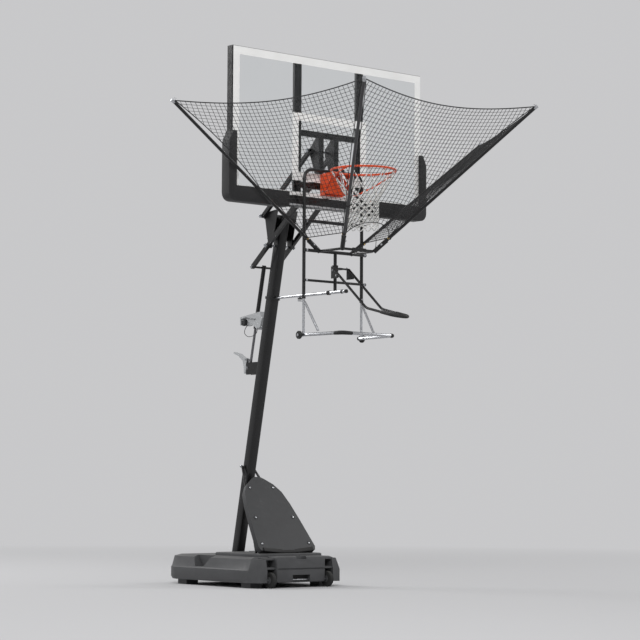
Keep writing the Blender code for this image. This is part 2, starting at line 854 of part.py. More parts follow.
def add_rim():
    """The ring, welded to a neck with two hinge cheeks, a hood and a brace that wraps round it."""
    bpy.ops.mesh.primitive_torus_add(
        major_segments=48,
        minor_segments=8,
        major_radius=RIM_RADIUS,
        minor_radius=RIM_ROD,
        location=(0, RIM_CENTRE_Y, RIM_Z),
    )
    ring = bpy.context.object
    ring.name = "rim"
    ring.data.materials.append(red_steel("rim"))
    for collection in list(ring.users_collection):
        collection.objects.unlink(ring)
    PARTS.objects.link(ring)
    smooth(ring)
    neck_back = -FRAME_WALL - MOUNT_PLATE - 0.010
    neck_front = RIM_CENTRE_Y + RIM_RADIUS
    wide = NECK_HALF_WIDTH
    top = box("neck", (-wide, neck_front, NECK_TOP_Z - NECK_PLATE), (wide, neck_back, NECK_TOP_Z))
    others = [top]
    knuckle = 2.2 * RIM_PIN_RADIUS
    for side in (-1, 1):
        outline = [
            (neck_back, NECK_TOP_Z - 0.001),
            (neck_front - 0.001, NECK_TOP_Z - 0.001),
            (neck_front - 0.001, NECK_TOP_Z - 0.012),
            (RIM_HINGE_Y - knuckle, RIM_HINGE_Z - 0.2 * knuckle),
            (RIM_HINGE_Y - 0.5 * knuckle, RIM_HINGE_Z - knuckle),
            (RIM_HINGE_Y + 0.5 * knuckle, RIM_HINGE_Z - knuckle),
            (RIM_HINGE_Y + knuckle, RIM_HINGE_Z - 0.2 * knuckle),
        ]
        hole = circle((RIM_HINGE_Y, RIM_HINGE_Z), RIM_PIN_RADIUS + GAP)
        cheek = side_plane(side * (wide - NECK_PLATE / 2))
        others.append(flat_plate("cheek", [outline, hole], NECK_PLATE, cheek))
        others.append(add_hood_side(side))
    half = [(x, RIM_CENTRE_Y + y, RIM_Z + z) for x, y, z in BRACE_HALF]
    others.append(bent_tube("brace", [(-x, y, z) for x, y, z in half] + half[-2::-1], BRACE_ROD, None, 2))
    return combine(ring, others)


def add_rim_hinge():
    """The pin across the mount and the spring wound on it."""
    pin = (RIM_HINGE_Y, RIM_HINGE_Z)
    cross_rod("rim_hinge_pin", MOUNT_HALF_WIDTH + 0.006, pin, RIM_PIN_RADIUS, bright_steel)
    coil = RIM_PIN_RADIUS + GAP + SPRING_WIRE + 0.0004
    steps = SPRING_TURNS * SPRING_POINTS
    points = []
    for step in range(steps + 1):
        angle = 2 * math.pi * step / SPRING_POINTS
        x = SPRING_PITCH * SPRING_TURNS * (step / steps - 0.5)
        points.append((x, RIM_HINGE_Y + coil * math.cos(angle), RIM_HINGE_Z + coil * math.sin(angle)))
    least = min(
        (Vector(points[i]) - Vector(points[j])).length
        for i in range(len(points))
        for j in range(i + SPRING_POINTS - 1, min(i + SPRING_POINTS + 2, len(points)))
    )
    print(f"rim_spring: least gap between turns {1000 * (least - 2 * SPRING_WIRE):.2f} mm")
    return bent_tube("rim_spring", points, SPRING_WIRE, bright_steel, 1)


def add_rim_net():
    """The ball net: a cone under the ring that runs into a tube with pointed loops."""
    top = RIM_Z - RIM_ROD - 0.0015
    cone = (top - NET_CONE_Z) / (top - NET_BOTTOM_Z)

    def surface(u, v):
        down = 1.0 - v
        share = min(1.0, down / cone)
        ease = share * share * (3 - 2 * share)
        radius = RIM_RADIUS + (NET_TUBE_RADIUS - RIM_RADIUS) * (0.6 * share + 0.4 * ease)
        angle = 2 * math.pi * u
        z = top + (NET_BOTTOM_Z - top) * down
        return Vector((radius * math.cos(angle), RIM_CENTRE_Y + radius * math.sin(angle), z))

    white = material("rim_net", (0.82, 0.82, 0.80), 0.8)
    return knotted_net(
        "rim_net", surface, NET_LOOPS, NET_ROWS + 1, 0.009, PANEL_THICKNESS, True, white
    )


# Shot-return machine


def arm_line(side, at_front):
    """The socket point and tip of one net arm."""
    azimuth = FRONT_ARM_AZIMUTH if at_front else BACK_ARM_AZIMUTH
    elevation = FRONT_ARM_ELEVATION if at_front else BACK_ARM_ELEVATION
    length = FRONT_ARM_LENGTH if at_front else BACK_ARM_LENGTH
    flat = math.cos(elevation)
    heading = Vector(
        (side * flat * math.sin(azimuth), -flat * math.cos(azimuth), math.sin(elevation))
    )
    start = Vector((side * RING_HALF_WIDTH, RING_FRONT_Y if at_front else BAR_Y, RING_Z))
    return start, start + heading * length


def add_main_frame():
    """An upside-down U that hangs on the rim's neck by a saddle; its open ends hold the foot's tubes."""
    route = rounded_path(
        (
            (-LEG_X, LEG_Y, LEG_END_Z),
            (-LEG_X, LEG_Y, TOP_BAR_Z),
            (LEG_X, LEG_Y, TOP_BAR_Z),
            (LEG_X, LEG_Y, LEG_END_Z),
        ),
        LEG_BEND,
        5,
    )
    frame = bent_tube("main_frame", route, TUBE, black_steel)
    size = Vector(SADDLE_SIZE)
    middle = Vector((0, LEG_Y - size.y / 2 - 0.003, TOP_BAR_Z))
    saddle = box("saddle", middle - size / 2, middle + size / 2)
    combine(frame, [saddle])
    bores = []
    for side in (-1, 1):
        mouth = (side * LEG_X, LEG_Y, LEG_END_Z - 0.01)
        floor = (side * LEG_X, LEG_Y, LEG_END_Z + LEG_SOCKET)
        bores.append(rod("bore", mouth, floor, STRUT_TUBE + 2 * GAP))
    return combine(frame, bores, "DIFFERENCE")


def add_cross_bars():
    """The upper bar, and the lower bar welded to the post that the chute turns on."""
    half = LEG_X + BAR_OVERHANG
    cross_rod("upper_cross_bar", half, (BAR_Y, UPPER_BAR_Z), TUBE, black_steel)
    bottom = (0, BAR_Y, POST_BOTTOM_Z)
    top = (0, BAR_Y, RING_Z - TUBE - GAP)
    post = rod("swivel_post", bottom, top, TUBE, black_steel)
    bar = cross_rod("lower_bar", half, (BAR_Y, LOWER_BAR_Z), THIN_TUBE)
    return combine(post, [bar])


def add_ring_frame():
    """The square ball ring with its back bar, blank name plate and a socket for each arm."""
    half = LEG_X + BAR_OVERHANG
    frame = cross_rod("ring_frame", half, (BAR_Y, RING_Z), TUBE, black_steel)
    route = rounded_path(
        (
            (-RING_HALF_WIDTH, BAR_Y, RING_Z),
            (-RING_HALF_WIDTH, RING_FRONT_Y, RING_Z),
            (RING_HALF_WIDTH, RING_FRONT_Y, RING_Z),
            (RING_HALF_WIDTH, BAR_Y, RING_Z),
        ),
        RING_BEND,
        3,
    )
    loop = bent_tube("loop", route, THIN_TUBE)
    size = Vector(PLATE_SIZE)
    middle = Vector((0, RING_FRONT_Y - THIN_TUBE, RING_Z))
    plate = box("plate", middle - size / 2, middle + size / 2)
    sockets, bores = [], []
    for side in (-1, 1):
        for at_front in (False, True):
            start, tip = arm_line(side, at_front)
            along = (tip - start).normalized()
            sockets.append(rod("socket", start - along * 0.004, start + along * SLEEVE_LENGTH, SLEEVE_RADIUS))
            low = start + along * SLEEVE_FLOOR
            high = start + along * (SLEEVE_LENGTH + 0.02)
            bores.append(rod("bore", low, high, ARM_RADIUS + 2 * GAP))
    combine(frame, [loop, plate, *sockets])
    return combine(frame, bores, "DIFFERENCE")


def add_net_arms():
    """Four straight poles, each seated in its socket."""
    for side, across in ((-1, "left"), (1, "right")):
        for at_front, along_name in ((False, "back"), (True, "front")):
            start, tip = arm_line(side, at_front)
            along = (tip - start).normalized()
            name = f"net_arm_{across}_{along_name}"
            rod(name, start + along * (SLEEVE_FLOOR + GAP), tip, ARM_RADIUS, black_steel)


def add_panel(name, first, second, droop, rise=0.0):
    """A return net stretched between two arms, from its rising hem up to its sagging top cord."""
    (start_a, tip_a), (start_b, tip_b) = arm_line(*first), arm_line(*second)
    along_a = (tip_a - start_a).normalized()
    along_b = (tip_b - start_b).normalized()
    across = ((start_b + tip_b) - (start_a + tip_a)).normalized()
    offset = ARM_RADIUS + 2 * GAP
    inward_a = (across - along_a * across.dot(along_a)).normalized() * offset
    inward_b = (-across - along_b * -across.dot(along_b)).normalized() * offset
    length_a = (tip_a - start_a).length
    length_b = (tip_b - start_b).length

    def surface(u, v):
        shift = 4 * u * (1 - u) * (rise * (1 - v) - droop * v)
        reach_a = PANEL_HEM + v * (length_a - PANEL_HEM - PANEL_TOP) + shift
        reach_b = PANEL_HEM + v * (length_b - PANEL_HEM - PANEL_TOP) + shift
        left = start_a + along_a * reach_a + inward_a
        right = start_b + along_b * reach_b + inward_b
        return left.lerp(right, u)

    cord = material(name, (0.03, 0.03, 0.03), 0.8)
    return knotted_net(
        name, surface, PANEL_COLUMNS, PANEL_LEVELS, PANEL_STRAND, PANEL_THICKNESS, False, cord
    )


def add_panels():
    add_panel("net_panel_left", (-1, False), (-1, True), SIDE_SAG)
    add_panel("net_panel_front", (-1, True), (1, True), FRONT_SAG, FRONT_HEM_RISE)
    add_panel("net_panel_right", (1, True), (1, False), SIDE_SAG)


def chute_route(x):
    """The corners of one rail in the side view, from the head to where the end loop starts."""
    loop_start = CHUTE_TIP[0] + CHUTE_HALF_WIDTH
    drop = (CHUTE_TIP[1] - CHUTE_KNEE[1]) / (CHUTE_TIP[0] - CHUTE_KNEE[0])
    loop_z = CHUTE_KNEE[1] + drop * (loop_start - CHUTE_KNEE[0])
    return [(x, *CHUTE_HEAD), (x, *CHUTE_KNEE), (x, loop_start, loop_z)]


def add_chute():
    """Two rails bent from one tube, welded to a collar that turns on the post."""
    right = rounded_path(chute_route(CHUTE_HALF_WIDTH), CHUTE_BEND, 3)
    left = [Vector((-point.x, point.y, point.z)) for point in reversed(right)]
    start = right[-1]
    drop = CHUTE_TIP[1] - start.z
    loop = []
    for step in range(1, 8):
        angle = math.pi * step / 8
        forward = math.sin(angle)
        loop.append(
            Vector((start.x * math.cos(angle), start.y - CHUTE_HALF_WIDTH * forward, start.z + drop * forward))
        )
    chute = bent_tube("chute_rails", right + loop + left, THIN_TUBE, black_steel)
    low, high = CHUTE_COLLAR_Z
    collar = rod("collar", (0, BAR_Y, low), (0, BAR_Y, high), CHUTE_COLLAR_RADIUS)
    head_y, head_z = CHUTE_HEAD
    yoke = box(
        "yoke",
        (-CHUTE_HALF_WIDTH, head_y - 0.006, head_z - 0.006),
        (CHUTE_HALF_WIDTH, head_y + 0.012, head_z + 0.006),
    )
    neck = box("neck", (-0.014, head_y, head_z - 0.008), (0.014, BAR_Y - TUBE, head_z + 0.008))
    combine(chute, [collar, yoke, neck])
    bore = rod("bore", (0, BAR_Y, low - 0.01), (0, BAR_Y, high + 0.01), TUBE + GAP)
    combine(chute, [bore], "DIFFERENCE")
    return chute


def add_chute_plate():
    """A sheet between the rails, hung under their upper stretch."""
    head, knee = Vector(CHUTE_HEAD), Vector(CHUTE_KNEE)
    along = (knee - head).normalized()
    under = Vector((along.y, -along.x))
    if under.y > 0:
        under = -under
    drop = THIN_TUBE + GAP + CHUTE_PLATE_THICKNESS / 2
    start = head + along * 0.030 + under * drop
    end = start + along * CHUTE_PLATE_LENGTH
    width = 2 * CHUTE_HALF_WIDTH
    matrix = direction_matrix((0, *start), (0, *end))
    size = (width, CHUTE_PLATE_THICKNESS, CHUTE_PLATE_LENGTH)
    across = Vector((1, 0, 0))
    forward = Vector((0, *along))
    normal = forward.cross(across)
    turn = Matrix((across, normal, forward)).transposed().to_4x4()
    matrix = Matrix.Translation(matrix.translation) @ turn
    return sized_box("chute_plate", size, matrix, black_steel)


def add_stand():
    """The foot frame, its two wheels and the struts that tie it to the legs."""
    route = rounded_path(
        (
            (-LEG_X, STAND_BACK_Y, STAND_Z),
            (-LEG_X, -0.100, STAND_Z),
            (-STAND_FRONT_X, STAND_FRONT_Y, STAND_Z),
            (STAND_FRONT_X, STAND_FRONT_Y, STAND_Z),
            (LEG_X, -0.100, STAND_Z),
            (LEG_X, STAND_BACK_Y, STAND_Z),
        ),
        STAND_BEND,
        3,
    )
    frame = bent_tube("stand_frame", route, TUBE, bright_steel)
    inner = LEG_X + TUBE + 0.003
    outer = inner + STAND_WHEEL_WIDTH
    axle_y = STAND_BACK_Y - TUBE
    others = []
    for side, across in ((-1, "left"), (1, "right")):
        start = (side * LEG_X, axle_y, STAND_Z)
        others.append(rod("stub", start, (side * (outer + 0.002), axle_y, STAND_Z), STAND_AXLE))
        head_start = (side * (outer + 0.001), axle_y, STAND_Z)
        head_end = (side * (outer + 0.006), axle_y, STAND_Z)
        others.append(rod("head", head_start, head_end, 2 * STAND_AXLE))
        name = f"stand_wheel_{across}"
        wheel = rod(
            name,
            (side * inner, axle_y, STAND_Z),
            (side * outer, axle_y, STAND_Z),
            STAND_WHEEL_RADIUS,
            grey_plastic,
            24,
        )
        bore = rod(
            "bore",
            (side * (inner - 0.01), axle_y, STAND_Z),
            (side * (outer + 0.01), axle_y, STAND_Z),
            STAND_AXLE + GAP,
        )
        combine(wheel, [bore], "DIFFERENCE")
        bevel(wheel, 0.003, 1)
    combine(frame, others)


def add_stand_strut(name, side):
    """A bright tube from the foot frame up into the leg, with a diagonal ahead of it."""
    x = side * LEG_X
    top = (x, LEG_Y, LEG_END_Z + LEG_SOCKET - GAP)
    strut = rod(name, (x, LEG_Y, STRUT_BOTTOM_Z), top, STRUT_TUBE, bright_steel)
    slope = (LEG_X - STAND_FRONT_X) / (STAND_FRONT_Y + 0.100)
    foot_x = side * (LEG_X + slope * (-0.100 - STRUT_FOOT_Y))
    seat = STAND_Z + TUBE + GAP + 0.30 * STRUT_TUBE
    elbow = (x, LEG_Y - 0.001, STRUT_TOP_Z)
    ahead = (x, LEG_Y - TUBE - STRUT_TUBE, STRUT_TOP_Z - 0.020)
    foot = (foot_x, STRUT_FOOT_Y, seat + STRUT_TUBE)
    diagonal = bent_tube("diagonal", rounded_path((elbow, ahead, foot), 0.020, 2), STRUT_TUBE)
    return combine(strut, [diagonal])


def add_brace():
    """A telescoping brace under the post that reaches the clamp on the pole, and its knob."""
    front = (0, BRACE_TUBE_FRONT_Y, BRACE_Z)
    back = (0, BRACE_TUBE_BACK_Y, BRACE_Z)
    tube = rod("brace_tube", front, back, TUBE, bright_steel)
    inner = TUBE - BRACE_WALL
    bore = rod("bore", (0, BAR_Y, BRACE_Z), (0, BRACE_TUBE_BACK_Y + 0.01, BRACE_Z), inner)
    combine(tube, [bore], "DIFFERENCE")
    end = pole_y(BRACE_Z + THIN_TUBE) - (POLE_SIDE / 2 + CLAMP_WALL + 2 * GAP) / math.cos(POLE_LEAN)
    rod_start = (0, BRACE_TUBE_BACK_Y - 0.160, BRACE_Z)
    rod("brace_rod", rod_start, (0, end, BRACE_Z), inner - GAP, bright_steel)
    knob_y = BRACE_TUBE_BACK_Y - BRACE_KNOB_INSET
    low = BRACE_Z - TUBE - GAP
    knob = rod(
        "brace_knob",
        (0, knob_y, low - BRACE_KNOB_HEIGHT),
        (0, knob_y, low - 0.005),
        BRACE_KNOB_RADIUS,
        grey_plastic,
        16,
    )
    stem = rod("stem", (0, knob_y, low - 0.008), (0, knob_y, low), 0.006)
    combine(knob, [stem])


# Pole and base


def pole_y(z):
    """Where the pole's centre line stands at a height."""
    return POLE_FOOT_Y - math.tan(POLE_LEAN) * (z - POLE_FOOT_Z)


def pole_matrix(z):
    """A matrix on the pole's centre line at a height, its Z axis up the pole."""
    return Matrix.Translation((0, pole_y(z), z)) @ Matrix.Rotation(POLE_LEAN, 4, "X")


def add_pole():
    """Three lengths of square tube, end to end."""
    half = POLE_SIDE / 2
    inner = half - POLE_WALL
    profile = [
        rounded_rectangle(-half, -half, half, half, POLE_CORNER, 3),
        rounded_rectangle(-inner, -inner, inner, inner, POLE_CORNER - POLE_WALL, 3),
    ]
    foot = POLE_FOOT_Z - POLE_SOCKET_DEPTH + 0.012
    heights = (foot, *POLE_JOINT_Z, POLE_TOP_Z)
    for name, low, high in zip(("pole_lower", "pole_middle", "pole_upper"), heights, heights[1:]):
        middle = (low + high) / 2
        length = (high - low) / math.cos(POLE_LEAN) - GAP
        section = flat_plate(name, profile, length, pole_matrix(middle), black_steel)
        if name == "pole_upper":
            bore = cross_rod("bore", POLE_SIDE, POLE_PIVOT_LOWER, PIN_RADIUS + GAP)
            combine(section, [bore], "DIFFERENCE")
        smooth(section)


def add_clamp():
    """The strap round the pole that the brace bears on."""
    half = POLE_SIDE / 2 + GAP
    outer = half + CLAMP_WALL
    outlines = [
        rounded_rectangle(-outer, -outer, outer, outer, POLE_CORNER + CLAMP_WALL, 3),
        rounded_rectangle(-half, -half, half, half, POLE_CORNER, 3),
    ]
    return flat_plate("pole_clamp", outlines, CLAMP_HEIGHT, pole_matrix(BRACE_Z), black_steel)


def tank_section(inset, back_inset, z):
    """One level of the tank: a rectangle with chamfered back corners, drawn in by the insets."""
    wide, front, back = TANK_HALF_WIDTH - inset, TANK_FRONT_Y + 0.2 * inset, TANK_BACK_Y - back_inset
    across, along = TANK_CORNER
    right = [(wide, front), (wide, back - along), (wide - across, back)]
    left = [(-x, y) for x, y in reversed(right)]
    return [(x, y, z) for x, y in right + left]


def lobe_section(side, inset, z):
    """One level of the lobe beside a wheel, with its chamfered front corner."""
    wide = TANK_HALF_WIDTH - 0.0005 - inset
    chamfer_x, chamfer_y = LOBE_CHAMFER
    deep = TANK_FRONT_Y + 0.060
    outline = [
        (LOBE_INNER_X, LOBE_FRONT_Y + 0.6 * inset),
        (chamfer_x - 0.8 * inset, LOBE_FRONT_Y + 0.6 * inset),
        (wide, chamfer_y),
        (wide, deep),
        (LOBE_INNER_X, deep),
    ]
    return [(side * x, y, z) for x, y in outline]


def add_tank():
    """The weighted base: a low tank, a raised deck, two lobes and a nose between the wheels."""
    slope = TANK_SLOPE
    tank = loft(
        "base_tank",
        [
            tank_section(0.008, 0.008, TANK_BOTTOM_Z),
            tank_section(0.0, 0.0, TANK_BOTTOM_Z + 0.020),
            tank_section(0.0, 0.0, TANK_RIM_Z),
            tank_section(0.007, 0.002, TANK_RIM_Z + 0.008),
            tank_section(slope, 0.004, TANK_SHOULDER_Z),
            tank_section(slope + TANK_CROWN, TANK_CROWN, TANK_TOP_Z),
        ],
        grey_plastic,
    )
    low_z, deep = TANK_BOTTOM_Z + 0.002, TANK_FRONT_Y + 0.090
    nose_low = (-NOSE_HALF_WIDTH, NOSE_FRONT_Y, low_z)
    nose = box("nose", nose_low, (NOSE_HALF_WIDTH, deep, NOSE_TOP_Z), None, 0.012)
    deck_low = (-DECK_HALF_WIDTH, DECK_Y[0], TANK_RIM_Z)
    deck = box("deck", deck_low, (DECK_HALF_WIDTH, DECK_Y[1], DECK_TOP_Z), None, 0.010)
    others = [nose, deck]
    for side in (-1, 1):
        sections = [
            lobe_section(side, 0.0, low_z),
            lobe_section(side, 0.0, TANK_RIM_Z),
            lobe_section(side, slope, LOBE_TOP_Z),
        ]
        others.append(loft("lobe", sections))
        near, far = NOSE_HALF_WIDTH - 0.010, LOBE_INNER_X + 0.010
        for name, back, (low, high) in (
            ("well_roof", 0.0, WELL_ROOF_Z),
            ("well_top", 0.010, WELL_TOP_Z),
        ):
            corner_low = (min(side * near, side * far), WHEEL_Y - 0.004 + back, low)
            corner_high = (max(side * near, side * far), TANK_FRONT_Y + 0.050, high)
            others.append(box(name, corner_low, corner_high))
        for y in (TANK_FRONT_Y + 0.080, TANK_BACK_Y - 0.150):
            x = side * (TANK_HALF_WIDTH - 0.100)
            foot = FOOT_SIZE / 2
            others.append(
                box("foot", (x - foot, y - foot, 0.0), (x + foot, y + foot, TANK_BOTTOM_Z + 0.010))
            )
    combine(tank, others)
    wide = NOSE_HALF_WIDTH + 0.010
    ahead = NOSE_FRONT_Y - 0.020
    cuts = [
        box(
            "handhold",
            (-HANDHOLD_HALF_WIDTH, ahead, HANDHOLD_Z[0]),
            (HANDHOLD_HALF_WIDTH, NOSE_FRONT_Y + HANDHOLD_DEPTH, HANDHOLD_Z[1]),
        ),
        box(
            "groove",
            (-wide, ahead, TANK_RIM_Z + 0.003),
            (wide, NOSE_FRONT_Y + 0.008, TANK_RIM_Z + 0.003 + GROOVE_HEIGHT),
        ),
        box(
            "notch",
            (-NOTCH_HALF_WIDTH, ahead, NOSE_TOP_Z - 0.022),
            (NOTCH_HALF_WIDTH, NOSE_FRONT_Y + 0.030, NOSE_TOP_Z + 0.02),
        ),
        cross_rod("axle_bore", LOBE_CHAMFER[0] - 0.015, (WHEEL_Y, WHEEL_Z), AXLE_RADIUS + GAP),
        sized_box(
            "socket",
            (POLE_SIDE + 4 * GAP, POLE_SIDE + 4 * GAP, 2 * POLE_SOCKET_DEPTH),
            pole_matrix(POLE_FOOT_Z),
        ),
    ]
    for side in (-1, 1):
        recess_x = side * (TANK_HALF_WIDTH - RECESS_DEPTH / 2 + 0.010)
        thickness = RECESS_DEPTH + 0.020
        cuts.append(flat_plate("recess", [RECESS_OUTLINE], thickness, side_plane(recess_x)))
    combine(tank, cuts, "DIFFERENCE")
    return tank


def add_wheels():
    """Two transport wheels on one axle through the nose and the lobes."""
    cross_rod("wheel_axle", LOBE_CHAMFER[0] - 0.020, (WHEEL_Y, WHEEL_Z), AXLE_RADIUS, bright_steel)
    for side, across in ((-1, "left"), (1, "right")):
        name = f"wheel_{across}"
        near = (side * (WHEEL_X - WHEEL_WIDTH / 2), WHEEL_Y, WHEEL_Z)
        far = (side * (WHEEL_X + WHEEL_WIDTH / 2), WHEEL_Y, WHEEL_Z)
        wheel = rod(name, near, far, WHEEL_RADIUS, material(name, (0.03, 0.03, 0.03), 0.75), 32)
        bore = cross_rod("bore", 2 * WHEEL_X, (WHEEL_Y, WHEEL_Z), AXLE_RADIUS + GAP)
        combine(wheel, [bore], "DIFFERENCE")
        bevel(wheel, 0.006, 2)


def add_fill_cap():
    x, y = CAP_PLACE
    seat = TANK_TOP_Z + GAP
    cap = rod("fill_cap", (x, y, seat), (x, y, seat + CAP_HEIGHT), CAP_RADIUS, grey_plastic, 24)
    grip = box(
        "grip",
        (x - 0.8 * CAP_RADIUS, y - 0.004, seat + 0.5 * CAP_HEIGHT),
        (x + 0.8 * CAP_RADIUS, y + 0.004, seat + 1.6 * CAP_HEIGHT),
    )
    return combine(cap, [grip])


def add_pole_strut(name, side):
    """A tube from the pole's flank down to the front of the tank."""
    top = (side * (POLE_SIDE / 2 + STRUT_RADIUS + 4 * GAP), *STRUT_POLE)
    foot_x, foot_y = STRUT_BASE
    foot = (side * foot_x, foot_y, DECK_TOP_Z + GAP + 0.6 * STRUT_RADIUS)
    return rod(name, top, foot, STRUT_RADIUS, black_steel)


def cover_matrix():
    """A matrix at the middle of the cover's foot: X across, Y up its slope, Z to the front."""
    foot, head = Vector((0, *COVER_FOOT)), Vector((0, *COVER_HEAD))
    up = (head - foot).normalized()
    across = Vector((1, 0, 0))
    turn = Matrix((across, up, across.cross(up))).transposed().to_4x4()
    return Matrix.Translation(foot) @ turn


def cover_outline(inset):
    """The shield outline, drawn in by a wall's thickness."""
    height = math.hypot(COVER_HEAD[0] - COVER_FOOT[0], COVER_HEAD[1] - COVER_FOOT[1])
    right = [(width - inset, max(along, inset)) for along, width in COVER_OUTLINE]
    right.append((0.028 - 0.4 * inset, height - inset))
    left = [(-x, y) for x, y in reversed(right)]
    return right + left


def add_cover():
    """A shield-shaped shell over the foot of the pole, open to the back."""
    matrix = cover_matrix()
    shell = flat_plate("front_cover", [cover_outline(0.0)], COVER_DEPTH, matrix, grey_plastic)
    lift = Matrix.Translation((0, 0, -COVER_WALL))
    hollow = flat_plate("hollow", [cover_outline(COVER_WALL)], COVER_DEPTH, matrix @ lift)
    combine(shell, [hollow], "DIFFERENCE")
    smooth(shell, 30)
    return shell


# Lift linkage and its actuator


def add_pole_bracket():
    """Two cheeks on either side of the pole, joined by a web along its back."""
    holes = [circle(spot, PIN_RADIUS + GAP) for spot in (POLE_PIVOT_UPPER, POLE_PIVOT_LOWER)]
    plates = [
        flat_plate(name, [BRACKET_OUTLINE, *holes], BRACKET_PLATE, side_plane(side * CHEEK_X))
        for name, side in (("pole_top_bracket", -1), ("cheek", 1))
    ]
    plates[0].data.materials.append(black_steel("pole_top_bracket"))
    web_low, web_high = BRACKET_WEB_Z
    behind = POLE_SIDE / 2 + GAP + BRACKET_PLATE / 2
    web = sized_box(
        "web",
        (2 * CHEEK_X, BRACKET_PLATE, web_high - web_low),
        pole_matrix((web_low + web_high) / 2) @ Matrix.Translation((0, behind, 0)),
    )
    return combine(plates[0], [plates[1], web])


def add_lift_pins():
    """The four pins that the lift arms turn on."""
    for name, spot in (
        ("pole_pin_upper", POLE_PIVOT_UPPER),
        ("pole_pin_lower", POLE_PIVOT_LOWER),
        ("board_pin_upper", BOARD_PIVOT_UPPER),
        ("board_pin_lower", BOARD_PIVOT_LOWER),
    ):
        cross_rod(name, PIN_REACH, spot, PIN_RADIUS, bright_steel)


def add_lift_arm(name, side, start, end, pivots):
    """A flat bar with round ends and a hole at each pivot."""
    outline = link_outline(start, end, LIFT_ARM_HEIGHT / 2)
    holes = [circle(spot, PIN_RADIUS + GAP) for spot in pivots]
    matrix = side_plane(side * LIFT_ARM_X)
    arm = flat_plate(name, [outline, *holes], LIFT_ARM_THICKNESS, matrix, black_steel)
    return arm


def add_lift_arms():
    """Upper and lower arms. The lower ones run on behind the pole and end in a stub pin."""
    for side, across in ((-1, "left"), (1, "right")):
        ends = (POLE_PIVOT_UPPER, BOARD_PIVOT_UPPER)
        add_lift_arm(f"upper_arm_{across}", side, *ends, ends)
        lower = add_lift_arm(
            f"lower_arm_{across}",
            side,
            LIFT_TAIL_END,
            BOARD_PIVOT_LOWER,
            (POLE_PIVOT_LOWER, BOARD_PIVOT_LOWER),
        )
        inner = (side * (ACTUATOR_TUBE + GAP), *LIFT_TAIL_END)
        stub = rod("stub", inner, (side * (LIFT_ARM_X + 0.002), *LIFT_TAIL_END), PIN_RADIUS)
        combine(lower, [stub])


def actuator_axis():
    """The actuator's foot and the unit vector up its centre line."""
    foot = Vector((0, *ACTUATOR_FOOT))
    head = Vector((0, *LIFT_TAIL_END))
    return foot, (head - foot).normalized(), (head - foot).length


def add_actuator():
    """A tube that slides on a rod, between the arm tails and a fork on the pole."""
    foot, up, length = actuator_axis()
    tube_low = foot + up * ACTUATOR_TUBE_FOOT
    tube = rod("actuator_tube", tube_low, foot + up * (length + ACTUATOR_TUBE_HEAD), ACTUATOR_TUBE, black_steel)
    bore_top = foot + up * (length - 0.020)
    bore = rod("bore", tube_low - up * 0.01, bore_top, ACTUATOR_BORE)
    combine(tube, [bore], "DIFFERENCE")
    inner = rod("actuator_rod", foot, foot + up * ACTUATOR_ROD_LENGTH, ACTUATOR_ROD, bright_steel)
    eye = cross_rod("eye", ACTUATOR_FORK - GAP, ACTUATOR_FOOT, ACTUATOR_EYE)
    pivot = Vector((0, *LEVER_PIVOT))
    along = foot + up * (pivot - foot).dot(up)
    lug = flat_plate(
        "lug",
        [
            link_outline(
                (along.y, along.z), LEVER_PIVOT, 0.009
            ),
            circle(LEVER_PIVOT, LEVER_PIN + GAP),
        ],
        2 * LEVER_LUG,
        side_plane(),
    )
    combine(inner, [eye, lug])
    hole = cross_rod("hole", ACTUATOR_FORK + 0.01, ACTUATOR_FOOT, ACTUATOR_PIN + GAP)
    combine(inner, [hole], "DIFFERENCE")
    cross_rod("actuator_pivot_pin", ACTUATOR_FORK + 0.012, ACTUATOR_FOOT, ACTUATOR_PIN, bright_steel)


def add_actuator_bracket():
    """A fork on the back of the pole whose slots, open to the back, take the actuator's pin."""
    y, z = ACTUATOR_FOOT
    behind = POLE_SIDE / 2 + GAP
    name = "actuator_bracket"
    plate = (2 * FORK_CHEEK_X + FORK_PLATE, FORK_PLATE, FORK_TOP_Z - FORK_BOTTOM_Z)
    middle = (FORK_BOTTOM_Z + FORK_TOP_Z) / 2
    matrix = pole_matrix(middle) @ Matrix.Translation((0, behind + FORK_PLATE / 2, 0))
    web = sized_box(name, plate, matrix, black_steel)
    slot = ACTUATOR_PIN + GAP
    low, high = z - slot - FORK_SLOT_PLAY, z + slot
    cheeks = []
    for side in (-1, 1):
        low_start = pole_y(FORK_BOTTOM_Z + 0.005) + behind + 0.004
        high_start = pole_y(FORK_TOP_Z - 0.005) + behind + 0.004
        outline = [
            (low_start, FORK_BOTTOM_Z + 0.005),
            (FORK_BACK_Y, FORK_BOTTOM_Z + 0.005),
            (FORK_BACK_Y, low),
            (y - slot, low),
            (y - slot, high),
            (FORK_BACK_Y, high),
            (FORK_BACK_Y, FORK_TOP_Z - 0.005),
            (high_start, FORK_TOP_Z - 0.005),
        ]
        cheek = side_plane(side * FORK_CHEEK_X)
        cheeks.append(flat_plate("cheek", [outline], FORK_PLATE, cheek))
    return combine(web, cheeks)


def add_housing():
    """The wedge-shaped lock housing at the tube's foot."""
    look = material("actuator_housing", (0.55, 0.56, 0.57), 0.5)
    housing = flat_plate(
        "actuator_housing", [HOUSING_SHELL], 2 * HOUSING_HALF_WIDTH, side_plane(), look
    )
    web = flat_plate("web", [HOUSING_WEB], 2 * HOUSING_WEB_HALF_WIDTH, side_plane())
    combine(housing, [web])
    foot, up, length = actuator_axis()
    bore = rod("bore", foot + up * 0.2, foot + up * length, HOUSING_BORE, None, 20)
    seat = cross_rod("seat", HOUSING_HALF_WIDTH + 0.01, KNOB_PLACE, KNOB_SHAFT + GAP)
    combine(housing, [bore, seat], "DIFFERENCE")
    return housing


